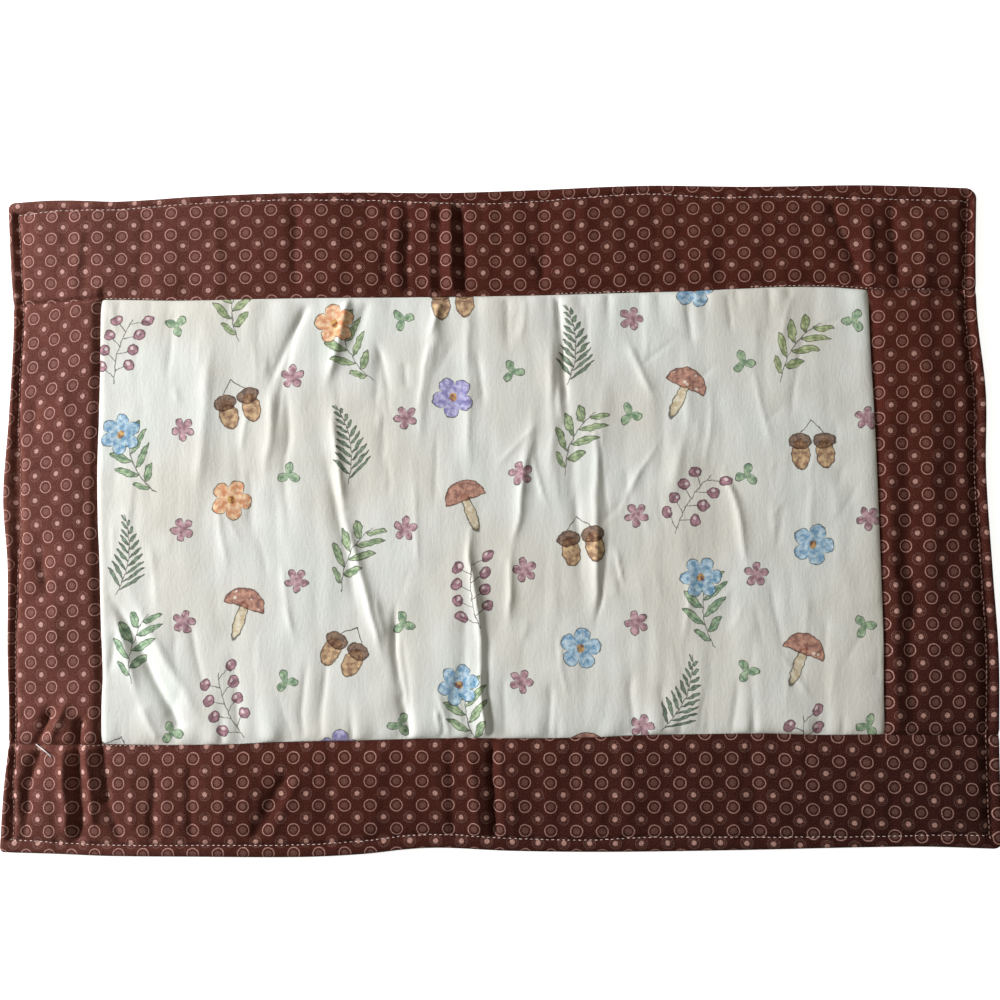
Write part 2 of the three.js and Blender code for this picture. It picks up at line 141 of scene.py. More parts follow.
# Finer creases that only the looks need, rows as above
panelCreases = [
    (-89, 97, -101, 40, -0.5, 2.0), (-66, 100, -76, 66, 0.6, 2.2), (-74, 50, -68, 0, 0.7, 2.2),
    (-68, 0, -50, -66, 0.8, 2.4), (-9.5, -6, -3, -98, 0.8, 1.9), (-41, -52, -38, -98, -0.6, 2.2),
    (-178, -36, -147, -94, -0.6, 2.6), (31, 102, 34.5, 84, -0.9, 1.7), (34.5, 84, 36, 50, -0.9, 1.7),
    (-5, 78, -2.5, 52, -0.6, 2.4), (-22.5, 101, -28.5, 84, 0.8, 1.8), (-28.5, 84, -33, 48, 0.8, 1.8),
    (-54, 82, -45, 57, -0.7, 2.6), (51, 40, 48, -46, 0.5, 2.2), (79, 35, 60, 1, 0.5, 2.0),
    (64, 81, 75, 55, 0.4, 1.8), (122, 69, 130, 32, 0.4, 2.2), (109, 21, 118, -24, 0.4, 1.8),
    (-77, -58, -79, -100, -0.6, 2.4), (-86, -64, -88, -100, -0.5, 2.4), (6, -72, 6, -100, -0.5, 2.4),
    (26, -76, 27, -101, -0.5, 2.4), (65, -71, 64, -100, -0.5, 2.6), (79, -76, 79, -99, -0.5, 2.6),
    (96, -78, 95, -99, -0.4, 2.6), (111, -74, 110, -99, -0.5, 2.6), (8, 101, 10, 76, -0.5, 2.6),
    (17, 101, 15, 82, 0.4, 2.4), (92, 101, 95, 80, -0.4, 2.4), (111, 101, 113, 84, -0.4, 2.4),
    (140, 99, 133, 70, 0.4, 2.6), (150, 30, 145, -20, 0.4, 3.0), (-150, 96, -152, 66, -0.4, 2.6),
    (-160, -10, -156, -40, 0.4, 3.0), (-120, -60, -118, -98, -0.4, 2.6), (20, 30, 26, 6, 0.5, 1.6),
    (51, 50, 55, -6, -0.6, 1.7), (55, -6, 48, -53, -0.6, 1.7), (58, -15, 61, -32, 0.5, 1.6),
    (33, 62, 33, 44, 0.5, 2.0), (-52, 41, -51, 60, 0.5, 2.0), (-41, 74, -37, 60, -0.6, 2.2),
    (-54, -36, -49, -56, 0.6, 2.2), (-44.5, -40, -44, -72, -1.1, 1.6), (-44, -72, -39, -99, -0.9, 1.6),
    (-2.5, -56, -0.5, -99, -0.7, 1.5), (20, 38, 10.5, -16, 0.6, 1.7), (10.5, -16, 8, -45, 0.6, 1.7),
    (-176, -50, -179, -72, -0.7, 3.0), (-25, -88, -24, -99, 0.7, 1.6), (-24, -78, -20, -99, 0.6, 2.0),
    (-14, -66, -18, -92, -0.6, 2.2), (-128, 12, -124, -24, 0.5, 2.2), (-112, 62, -118, 30, 0.5, 2.2),
    (-36, 20, -32, -24, 0.45, 2.2), (-24, 40, -26, 4, -0.45, 2.2), (92, -20, 88, -62, 0.45, 2.4),
    (30, -52, 34, -84, 0.45, 2.2), (128, -30, 133, -66, -0.4, 2.6), (104, 60, 99, 22, 0.4, 2.2),
    (146, 84, 139, 44, -0.4, 2.4), (-140, -46, -134, -80, -0.5, 2.4), (-98, -20, -92, -58, 0.5, 2.4),
]
borderCreases = [
    (-217, -120, -218, -146, -0.9, 3.0), (-191.2, -100, -192.6, -142, -0.9, 1.2),
    (-190.5, -91, -191.5, -103, -1.3, 2.4), (-141, -116, -139, -146, -0.8, 3.5),
    (-170, -118, -166, -140, 0.6, 3.5), (-98, -127, -110.5, -146, -0.8, 1.8),
    (-158, -118, -157, -146, -0.9, 3.0), (-19, -106, -18, -145, -0.8, 3.0),
    (-0.5, -104, 0.5, -145, -1.0, 1.5), (4, -104, 5, -145, 0.5, 2.2), (-12, 148, -12, 107, -0.6, 1.5),
    (-126, -108, -127, -140, 0.5, 5.0), (-75, -106, -74, -140, -0.4, 5.0),
    (-52, -106, -54, -140, 0.4, 5.0), (36, -106, 38, -142, -0.5, 5.0), (60, -108, 61, -140, 0.4, 6.0),
    (118, -108, 121, -142, -0.4, 6.0), (-48, 148, -48, 112, -0.7, 2.6), (177.5, 134, 176, 98, 1.1, 3.4),
    (202, 136, 201, 92, 1.3, 6.0), (-165, 147, -166, 110, -0.5, 5.0), (-130, 147, -128, 112, 0.5, 6.0),
    (-190, 145, -192, 112, -0.5, 6.0), (60, 148, 61, 112, 0.4, 6.0), (110, 147, 108, 110, -0.4, 6.0),
    (-202, 70, -196, 20, 0.5, 5.0), (-190, 40, -192, -20, -0.4, 5.0), (-205, -30, -202, -72, 0.5, 5.0),
    (190, 10, 191, -80, -0.5, 5.0), (214, 60, 212, 0, -0.5, 4.0), (213, -20, 214, -90, 0.4, 5.0),
]

# Heights of the cloth over the table
cloth = {
    "backTop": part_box("back_cloth")[1][2] / mm,
    "panelDrop": {"long": 1.8, "side": 0.9},
    "panelSoftness": {"long": 4.0, "side": 1.6},
    "seamSoftness": 5.0,
    "edge": 2.1,
    "edgeRoll": 2.4,
    "rim": 3.6,
    "grooveWidth": {"top": (1.2, 1.2), "bottom": (1.2, 1.2), "left": (1.3, 1.5), "right": (1.9, 2.5)},
    "grooveDepth": {"top": 0.8, "bottom": 0.8, "left": 2.8, "right": 2.1},
    "borderPuff": 4.6,
    "panelPuff": 4.0,
    "puffRise": 11.0,
    "least": 1.3,
    "rightFall": 1.0,
    "backInset": 1.0,
    "backLift": 0.45,
    "foldStrength": {"panel": 1.1, "border": 1.45},
    # A fold that ends further than this from the middle is held there by a seam
    "foldHeld": 92,
    # How far along from a seam the edge changes from a seam's turn to the rolled one
    "turnChange": 1.5,
}
sides = ("top", "bottom", "left", "right")
longSides = sides[:2]


# A smooth line through a table's rows, read at many places
def readLine(rows, at):
    places, outs = np.array(rows, dtype=float).T
    slopes = np.empty_like(outs)
    slopes[1:-1] = (outs[2:] - outs[:-2]) / (places[2:] - places[:-2])
    slopes[0] = (outs[1] - outs[0]) / (places[1] - places[0])
    slopes[-1] = (outs[-1] - outs[-2]) / (places[-1] - places[-2])
    i = np.clip(np.searchsorted(places, at, side="right") - 1, 0, len(places) - 2)
    span = places[i + 1] - places[i]
    t = np.clip((at - places[i]) / span, 0, 1)
    rise = outs[i + 1] - outs[i]
    turn1 = slopes[i] * span - rise
    turn2 = rise - slopes[i + 1] * span
    return outs[i] + rise * t + t * (1 - t) * (turn1 * (1 - t) + turn2 * t)


# How far points lie from each side of the mat, its corners left square
def edgeDistances(x, y):
    return {
        "top": readLine(outline["top"], x) - y,
        "bottom": y + readLine(outline["bottom"], x),
        "left": x + readLine(outline["left"], y),
        "right": readLine(outline["right"], y) - x,
    }


def cornerPull(radius, d):
    rest = np.maximum(radius - d, 0)
    return radius - np.sqrt(np.maximum(radius * radius - rest * rest, 0))


# Where a short side lies across the mat, drawn in at its two corners
def shortSide(side, y):
    sign = -1 if side == "left" else 1
    d = edgeDistances(sign * outline[side][0][1], y)
    pull = sum(cornerPull(cornerRadius[end + side.capitalize()], d[end]) for end in ("top", "bottom"))
    return sign * (readLine(outline[side], y) - pull)


# Distance to the mat's rounded edge, from the distances to its four sides
def roundedEdgeDistance(d):
    nearest = np.minimum.reduce(list(d.values()))
    for corner, radius in cornerRadius.items():
        side = "left" if corner.endswith("Left") else "right"
        end = "top" if corner.startswith("top") else "bottom"
        a = radius - d[side]
        b = radius - d[end]
        nearest = np.where((a > 0) & (b > 0), radius - np.hypot(a, b), nearest)
    return np.maximum(nearest, 0)


def bump(distance, width):
    return np.exp(-((distance / width) ** 2))


def swell(distance, reach):
    return 1 - np.exp(-np.maximum(distance, 0) / reach)


# Smooth random hills from -1 to 1, one to each unit square
def softNoise(x, y, seed):
    count = 256
    hills = np.random.default_rng(seed).uniform(-1, 1, (count, count))
    x, y = np.broadcast_arrays(x, y)
    i, j = np.floor(x).astype(int), np.floor(y).astype(int)
    u, v = x - i, y - j
    u, v = u * u * (3 - 2 * u), v * v * (3 - 2 * v)
    i0, j0, i1, j1 = i % count, j % count, (i + 1) % count, (j + 1) % count
    low = hills[j0, i0] * (1 - u) + hills[j0, i1] * u
    high = hills[j1, i0] * (1 - u) + hills[j1, i1] * u
    return low * (1 - v) + high * v


def foldHeight(rows, x, y, strength):
    total = np.zeros(np.broadcast(x, y).shape)
    # The folds waver, and a fold that ends on the open cloth dies away
    wavered = x + 1.3 * softNoise(x / 24, y / 20, 71) + 0.5 * softNoise(x / 8, y / 9, 72)
    uneven = 1 + 0.35 * softNoise(x / 13, y / 13, 73)
    for x1, y1, x2, y2, rise, width in rows:
        dx, dy = x2 - x1, y2 - y1
        t = np.clip(((wavered - x1) * dx + (y - y1) * dy) / (dx * dx + dy * dy), 0, 1)
        away = np.hypot(wavered - x1 - t * dx, y - y1 - t * dy)
        first, last = [0.0 if abs(end) > cloth["foldHeld"] else 0.8 for end in (y1, y2)]
        fade = (1 - first * bump(t, 0.16)) * (1 - last * bump(1 - t, 0.16))
        # A broad swell with a sharper crest on it, as creased cloth has
        total += rise * fade * (0.52 * bump(away, width) + 0.48 * bump(away, 0.36 * width))
    return strength * uneven * total


# Small chance creases inside a rectangle, leaning about a direction: (middle, spread) in radians
def looseCreases(seed, count, low, high, lean):
    chance = np.random.default_rng(seed)
    rows = []
    for _ in range(count):
        x, y = chance.uniform(low[0], high[0]), chance.uniform(low[1], high[1])
        length = chance.uniform(8, 26)
        angle = chance.normal(*lean)
        dx, dy = length * math.sin(angle), length * math.cos(angle)
        rise = chance.choice([-1, 1]) * chance.uniform(0.10, 0.32)
        rows.append((x - dx / 2, y - dy / 2, x + dx / 2, y + dy / 2, rise, chance.uniform(1.5, 3.2)))
    return rows


chanceCreases = {
    "panel": [
        *looseCreases(3, 60, (-178, -98), (176, 100), (0.0, 0.22)),
        *looseCreases(4, 34, (10, -90), (172, 92), (0.1, 0.6)),
    ],
    "top": looseCreases(5, 46, (-222, 108), (220, 146), (0.0, 0.2)),
    "bottom": looseCreases(7, 46, (-220, -145), (220, -106), (0.0, 0.2)),
    "left": looseCreases(11, 18, (-222, -98), (-186, 100), (1.5, 0.5)),
    "right": looseCreases(13, 18, (184, -98), (222, 100), (1.5, 0.5)),
}


# Height of the cream panel
def panelSurface(x, y):
    gaps = (
        readLine(seams["top"], x) - y,
        y + readLine(seams["bottom"], x),
        x + readLine(seams["left"], y),
        readLine(seams["right"], y) - x,
    )
    toSeam = np.minimum.reduce(gaps)
    body = cloth["panelPuff"]
    for end, gap in (("long", np.minimum(*gaps[:2])), ("side", np.minimum(*gaps[2:]))):
        body = body - cloth["panelDrop"][end] * (1 - swell(gap, cloth["panelSoftness"][end]))
    # Beside the left seam the cloth stands in a low roll
    body = body + 0.3 * bump(gaps[2] - 1.8, 2.0)
    rows = panelFolds + panelCreases + chanceCreases["panel"]
    folds = foldHeight(rows, x, y, cloth["foldStrength"]["panel"]) * swell(toSeam, 2.5)
    # The seams gather the cloth a little: rounded puffs run in from them with narrow valleys between
    gathers = 1.5 * (np.abs(softNoise(x / 7.5, gaps[0] / 60, 21)) - 0.3) * np.exp(-gaps[0] / 9)
    gathers = gathers * np.clip((x + 185) / 80, 0.45, 1)
    gathers += 2.2 * (np.abs(softNoise(x / 6.8, gaps[1] / 60 + 4, 22)) - 0.3) * np.exp(-gaps[1] / 8)
    atEnds = np.exp(-gaps[2] / 6) + np.exp(-gaps[3] / 6)
    gathers += 0.6 * (np.abs(softNoise(y / 9.5, 8.0, 23)) - 0.3) * atEnds
    pulled = 0.36 * softNoise(x / 15, y / 50, 24) + 0.26 * np.abs(softNoise(x / 9.5, y / 36, 25))
    pulled += 0.10 * softNoise(x / 4.2, y / 18, 26) + 0.16 * softNoise(x / 10, y / 10, 27)
    return np.maximum(body + folds + (gathers + pulled) * swell(toSeam, 1.6), cloth["least"])


# Height of the brown strips, wherever the point lies on them
def borderSurface(x, y):
    x, y = np.broadcast_arrays(x, y)
    d = edgeDistances(x, y)
    toEdge = roundedEdgeDistance(d)
    topSeam, bottomSeam = readLine(seams["top"], x), -readLine(seams["bottom"], x)
    leftSeam, rightSeam = -readLine(seams["left"], y), readLine(seams["right"], y)
    onTop, onBottom = y >= topSeam, y <= bottomSeam
    sideSeam = np.where(x < 0, np.abs(leftSeam - x), np.abs(x - rightSeam))
    besideEnds = np.minimum(topSeam - y, y - bottomSeam)
    toLongSeam = np.where(onTop, y - topSeam, np.where(onBottom, bottomSeam - y, besideEnds))
    # Where two strips meet the dip is a narrow one; beside the panel it is broad
    besidePanel = np.clip((sideSeam + np.where((x > leftSeam) & (x < rightSeam), 6, -sideSeam)) / 6, 0, 1)
    narrow = 1.7 * bump(toLongSeam, 1.5)
    broadLong = 2.1 * bump(toLongSeam, cloth["seamSoftness"])
    broadSide = 2.3 * bump(sideSeam, np.where(x < 0, 2.3, 3.6))
    onLong = onTop | onBottom
    longDip = besidePanel * broadLong + (1 - besidePanel) * narrow
    dip = np.where(onLong, longDip, np.maximum(narrow, broadSide))
    toSeam = np.where(onLong, toLongSeam, np.minimum(toLongSeam, sideSeam))

    rolled = np.sqrt(np.maximum(1 - (1 - np.minimum(toEdge / cloth["edgeRoll"], 1)) ** 2, 0))
    rim = cloth["edge"] + (cloth["rim"] - cloth["edge"]) * rolled
    along = {side: x if side in longSides else y for side in sides}
    within = {side: d[side] - readLine(stitchInset[side], along[side]) for side in sides}
    inside = np.minimum.reduce(list(within.values()))
    groove, puckers = np.zeros(x.shape), np.zeros(x.shape)
    for side in sides:
        ends = np.minimum.reduce([within[end] for end in (sides[2:] if side in longSides else longSides)])
        drawn = 1 + 0.35 * softNoise(along[side] / 3.1, 2.0, 31)
        outer, inner = cloth["grooveWidth"][side]
        if side == "left":
            outer = np.maximum(0.62 * readLine(stitchInset[side], y) - 1.1, outer)
        dent = bump(within[side], np.where(within[side] < 0, outer, inner))
        groove = np.maximum(groove, cloth["grooveDepth"][side] * drawn * dent * np.clip(ends + 1.2, 0, 1))
        # Small puckers that the topstitch draws in, on both sides of its line
        puckers += 0.22 * softNoise(along[side] / 3.6, 0.0, 41) * bump(within[side], 3.5)
        puckers += 0.20 * softNoise(along[side] / 8.5, 5.0, 42) * bump(within[side] - 4, 8.0)
    creases = [row for side in sides for row in chanceCreases[side]]
    folds = foldHeight(borderFolds + borderCreases + creases, x, y, cloth["foldStrength"]["border"])
    folds += 0.40 * softNoise(x / 16, y / 18, 43) + 0.40 * softNoise(x / 6.5, y / 34, 44) * onLong
    folds += 0.30 * softNoise(x / 11, y / 9, 45) * ~onLong
    folds = folds * (0.25 * swell(toEdge, 1.5) + 0.75 * swell(inside, 3.0))
    folds = folds * (0.3 + 0.7 * swell(toSeam, 3.0))
    puff = (cloth["borderPuff"] - cloth["rim"]) * swell(inside, cloth["puffRise"])
    # On the right the edge lies lower than the cloth beside it
    fall = cloth["rightFall"] * np.clip((8.0 - d["right"]) / 3.5, 0, 1)
    height = rim + puff - groove - dip - fall * swell(toEdge, 2.0) + folds + puckers * swell(toEdge, 1.5)
    return np.maximum(height, np.minimum(cloth["least"], rim))


# Places from 0 to 1 along a length at an even step, with finer rows at the ends
def places(length, startRows, endRows, step):
    first, final = startRows[-1], length - endRows[-1]
    count = max(round((final - first) / step), 1)
    middle = np.linspace(first, final, count + 1)[1:-1]
    return np.concatenate([startRows, middle, length - np.array(endRows)[::-1]]) / length


# Grid places round the rim, anticlockwise from the first corner
def rimIndices(rows, columns):
    return np.concatenate([
        np.arange(columns - 1),
        np.arange(rows - 1) * columns + columns - 1,
        rows * columns - 1 - np.arange(columns - 1),
        (rows - 1 - np.arange(rows - 1)) * columns,
    ])


# How the cloth turns under at a rolled outer edge and at a seam.
# Rows: (inset, share of the way down, cloth used)
edgeTurn = [(0.05, 0.22, 0.3), (0.28, 0.5, 0.6), (0.7, 0.78, 1.1), (1.25, 0.95, 1.7), (2.1, 1.0, 2.6)]
seamTurn = [(0.0, 0.25, 0.3), (0.0, 0.55, 0.6), (0.05, 0.8, 1.0), (0.3, 0.95, 1.3), (1.0, 1.0, 2.0)]


def gridFaces(rows, columns):
    a = (np.arange(rows - 1)[:, None] * columns + np.arange(columns - 1)[None, :]).ravel()
    return np.stack([a, a + 1, a + columns + 1, a + columns], axis=1)


# A band of faces between two rings of points
def bandFaces(upper, lower):
    return np.stack([lower, np.roll(lower, -1), np.roll(upper, -1), upper], axis=1).tolist()


# A closed body: a grid of points on top, a turned rim and a flat underside
def clothBody(name, x, y, z, bottom, turnedEdge, printAt):
    rows, columns = x.shape
    rim = rimIndices(rows, columns)
    top = np.stack([x.ravel(), y.ravel(), z.ravel()], axis=1)
    uv = [np.stack(printAt(x.ravel(), y.ravel()), axis=1)]
    edge = top[rim]
    tangent = np.roll(edge, -1, axis=0)[:, :2] - np.roll(edge, 1, axis=0)[:, :2]
    outward = np.stack([tangent[:, 1], -tangent[:, 0]], axis=1)
    outward /= np.linalg.norm(outward, axis=1)[:, None]
    outer = turnedEdge(edge[:, 0], edge[:, 1])[:, None]
    points = [top]
    for atEdge, atSeam in zip(edgeTurn, seamTurn):
        inset, share, arc = [outer * a + (1 - outer) * b for a, b in zip(atEdge, atSeam)]
        flat = edge[:, :2] - outward * inset
        points.append(np.hstack([flat, edge[:, 2:] + (bottom - edge[:, 2:]) * share]))
        unrolled = edge[:, :2] + outward * arc
        uv.append(np.stack(printAt(unrolled[:, 0], unrolled[:, 1]), axis=1))
    centre = points[-1].mean(axis=0, keepdims=True)
    points.append(centre)
    uv.append(np.stack(printAt(centre[:, 0], centre[:, 1]), axis=1))
    vertices = np.vstack(points)
    faces = gridFaces(rows, columns).tolist()
    count = len(rim)
    rings = [rim] + [rows * columns + k * count + np.arange(count) for k in range(len(edgeTurn))]
    for upper, lower in zip(rings, rings[1:]):
        faces += bandFaces(upper, lower)
    last = rings[-1]
    middle = np.full(count, len(vertices) - 1)
    faces += np.stack([np.roll(last, -1), last, middle], axis=1).tolist()
    return meshObject(name, vertices, faces, np.vstack(uv))


def meshObject(name, vertices, faces, uv=None):
    mesh = bpy.data.meshes.new(name)
    mesh.from_pydata((vertices * mm).tolist(), [], faces)
    if uv is not None:
        layer = mesh.uv_layers.new(name="print")
        corners = np.empty(len(mesh.loops), dtype=np.int32)
        mesh.loops.foreach_get("vertex_index", corners)
        layer.data.foreach_set("uv", uv[corners].astype(np.float32).ravel())
    mesh.shade_smooth()
    piece = bpy.data.objects.new(name, mesh)
    bpy.context.collection.objects.link(piece)
    return piece


# Where the dotted print lies on each strip, in repeats: rings at whole numbers, dots at the halves.
# The cloth is pulled about by its seams, so a row of rings wanders, and so do the gaps along it.
# Rows: (place along the strip, place of a row of rings) or (place along the strip, shift of the rings)
printRows = {
    "top": [(-215, 146.0), (-185, 146.2), (-120, 146.8), (-80, 146.5), (-43, 144.2), (-8, 141.8),
            (25, 141.4), (96, 143.1), (145, 143.0), (188, 139.7), (215, 138.4)],
    "bottom": [(-210, -110.8), (-150, -110.5), (-60, -109.9), (-10, -110.1), (26, -111.0), (61, -111.2),
               (97, -111.0), (121, -111.3), (145, -112.4), (193, -113.8), (218, -114.6)],
    "left": [(-101, -197.0), (-88, -195.3), (-65, -195.2), (-41, -195.7), (-18, -197.0), (6, -199.1),
             (17, -199.5), (29, -199.3), (53, -197.9), (76, -196.4), (101, -196.1)],
    "right": [(-98, 200.6), (-75, 201.1), (-51, 200.5), (8, 200.3), (31, 200.1), (55, 200.9), (102, 201.8)],
}
printShifts = {
    "top": [(-222, 0.6), (-190, -1.3), (-150, -1.2), (-100, -0.1), (-43, 1.05), (15, 0.5), (60, 0.1),
            (120, -0.6), (166, -1.3), (192, -2.8), (218, -2.9)],
    "bottom": [(-218, 6.0), (-205, 4.7), (-184, 2.5), (-160, 1.4), (-120, 0.8), (-75, 0.4), (-25, 0.8),
               (50, 0.0), (100, 0.0), (145, 0.5), (181, 1.45), (218, 0.6)],
}


# Place of one ring, and the print's pitch along and across the strip
printPitch = {"top": (-208.2, 11.72, 10.8), "bottom": (-80.4, 11.83, 10.87)}


def printOnLong(side, x, y):
    start, along, across = printPitch[side]
    shifted = x - readLine(printShifts[side], x)
    return (shifted - start) / along, (readLine(printRows[side], x) - y) / across


def printOnLeft(x, y):
    off = x - readLine(printRows["left"], y)
    return (52.7 - y + off * (0.075 + 0.0009 * y)) / 11.8, off / 10.1


def printOnRight(x, y):
    return (43.4 - y) / 11.8, (x - readLine(printRows["right"], y)) / 10.6


edgeRows = [0, 0.15, 0.35, 0.6, 0.95, 1.4, 1.9, 2.5, 3.1, 3.7, 4.2, 4.7, 5.1, 5.5, 5.9, 6.3, 6.8, 7.4, 8.2]
seamRows = [0, 0.35, 0.8, 1.4, 2.1, 3.0, 4.0]
# The gap on each side of a seam line, the middle sizes of the mat and its parts, and the mesh's step
halfGap = 0.03
matLength, matWidth = 461.0, 311.0
longWidth, shortWidth = 50.0, 46.0
panelLength, panelWidth = 363.0, 208.0
meshStep = {"strips": 1.15, "panel": 1.0, "back": 2.4}
stripFloor = cloth["backTop"] + 0.06


# A strip across the whole width of the mat
def longStrip(name, side):
    rows = (seamRows, edgeRows) if side == "top" else (edgeRows, seamRows)
    u, v = np.meshgrid(places(matLength, edgeRows, edgeRows, meshStep["strips"]),
                       places(longWidth, *rows, meshStep["strips"]))
    guess = matLength * (u - 0.5)
    if side == "top":
        low, high = readLine(seams["top"], guess) + halfGap, readLine(outline["top"], guess)
    else:
        low, high = -readLine(outline["bottom"], guess), -readLine(seams["bottom"], guess) - halfGap
    y = low + (high - low) * v
    left, right = shortSide("left", y), shortSide("right", y)
    x = left + (right - left) * u

    def turnedEdge(px, py):
        return np.clip((np.abs(py) - readLine(seams[side], px) - halfGap) / cloth["turnChange"], 0, 1)

    printAt = partial(printOnLong, side)
    return clothBody(name, x, y, borderSurface(x, y), stripFloor, turnedEdge, printAt)


# Points between the two long seams, from the places across and the share of the way up
def betweenLongSeams(x, v):
    bottom, top = -readLine(seams["bottom"], x) + halfGap, readLine(seams["top"], x) - halfGap
    return bottom + (top - bottom) * v


# A strip between the long ones
def shortStrip(name, side, printAt):
    rows = (seamRows, edgeRows) if side == "right" else (edgeRows, seamRows)
    u, v = np.meshgrid(places(shortWidth, *rows, meshStep["strips"]),
                       places(panelWidth, seamRows, seamRows, meshStep["strips"]))
    guess = panelWidth * (v - 0.5)
    low, high = readLine(seams[side], guess) + halfGap, shortSide(side, guess)
    if side == "left":
        low, high = high, -low
    x = low + (high - low) * u
    y = betweenLongSeams(x, v)

    def turnedEdge(px, py):
        room = np.minimum(readLine(seams["top"], px) - py, py + readLine(seams["bottom"], px)) - halfGap
        offSeam = np.abs(px) - readLine(seams[side], py) - halfGap
        return np.clip(np.minimum(room, offSeam) / cloth["turnChange"], 0, 1)

    return clothBody(name, x, y, borderSurface(x, y), stripFloor, turnedEdge, printAt)


def panelCloth(name):
    u, v = np.meshgrid(places(panelLength, seamRows, seamRows, meshStep["panel"]),
                       places(panelWidth, seamRows, seamRows, meshStep["panel"]))
    guess = panelWidth * (v - 0.5)
    low, high = -readLine(seams["left"], guess) + halfGap, readLine(seams["right"], guess) - halfGap
    x = low + (high - low) * u
    y = betweenLongSeams(x, v)

    def turnedEdge(px, py):
        return px * 0

    return clothBody(name, x, y, panelSurface(x, y), stripFloor, turnedEdge, lambda px, py: (px, py))


print("making the cloths")
panel = panelCloth("panelCloth")
topStrip = longStrip("topStrip", "top")
bottomStrip = longStrip("bottomStrip", "bottom")
leftStrip = shortStrip("leftStrip", "left", printOnLeft)
rightStrip = shortStrip("rightStrip", "right", printOnRight)


# Height of the back cloth's lower face: flat, drawn up a little along each line of stitches
def underside(x, y):
    d = edgeDistances(x, y)
    rounded = roundedEdgeDistance({side: d[side] - cloth["backInset"] for side in sides})
    lift = cloth["backLift"] * (1 - swell(rounded, 0.5))
    for side in sides:
        toStitch = d[side] - readLine(stitchInset[side], x if side in longSides else y)
        lift = np.maximum(lift, cloth["backLift"] * bump(toStitch, 0.9))
    return lift + 0.12 * np.abs(softNoise(x / 14, y / 14, 51)) * swell(rounded, 4)


# The back cloth: a thin sheet with its lower face drawn up at the stitches
def backBody(name):
    inset = cloth["backInset"]
    u, v = np.meshgrid(places(matLength - 2 * inset, edgeRows, edgeRows, meshStep["back"]),
                       places(matWidth - 2 * inset, edgeRows, edgeRows, meshStep["back"]))
    guess = matLength * (u - 0.5)
    low, high = inset - readLine(outline["bottom"], guess), readLine(outline["top"], guess) - inset
    y = low + (high - low) * v
    left, right = shortSide("left", y) + inset, shortSide("right", y) - inset
    x = left + (right - left) * u
    rows, columns = x.shape
    lower = np.stack([x.ravel(), y.ravel(), underside(x, y).ravel()], axis=1)
    rim = rimIndices(rows, columns)
    upper = lower[rim] * [1, 1, 0] + [0, 0, cloth["backTop"]]
    vertices = np.vstack([lower, upper, [[0, 0, cloth["backTop"]]]])
    ring = rows * columns + np.arange(len(rim))
    faces = gridFaces(rows, columns)[:, ::-1].tolist() + bandFaces(ring, rim)
    middle = np.full(len(rim), len(vertices) - 1)
    faces += np.stack([ring, np.roll(ring, -1), middle], axis=1).tolist()
    return meshObject(name, vertices, faces, vertices[:, :2])


back = backBody("backCloth")


# An sRGB hex colour as linear RGBA
def srgb(code):
    parts = [int(code[i:i + 2], 16) / 255 for i in (1, 3, 5)]
    return (*[c / 12.92 if c <= 0.04045 else ((c + 0.055) / 1.055) ** 2.4 for c in parts], 1.0)


# Adds one node, named as Kind or Kind.OPERATION, and gives one of its outputs
def addNode(tree, kind, inputs=(), output=0, **settings):
    kind, _, operation = kind.partition(".")
    node = tree.nodes.new(kind)
    if operation:
        node.operation = operation
    for setting, value in settings.items():
        setattr(node, setting, value)
    for key, value in (inputs.items() if isinstance(inputs, dict) else enumerate(inputs)):
        if isinstance(value, Signal):
            tree.links.new(value.socket, node.inputs[key])
        else:
            node.inputs[key].default_value = value
    return Signal(tree, node.outputs[output]) if node.outputs else node


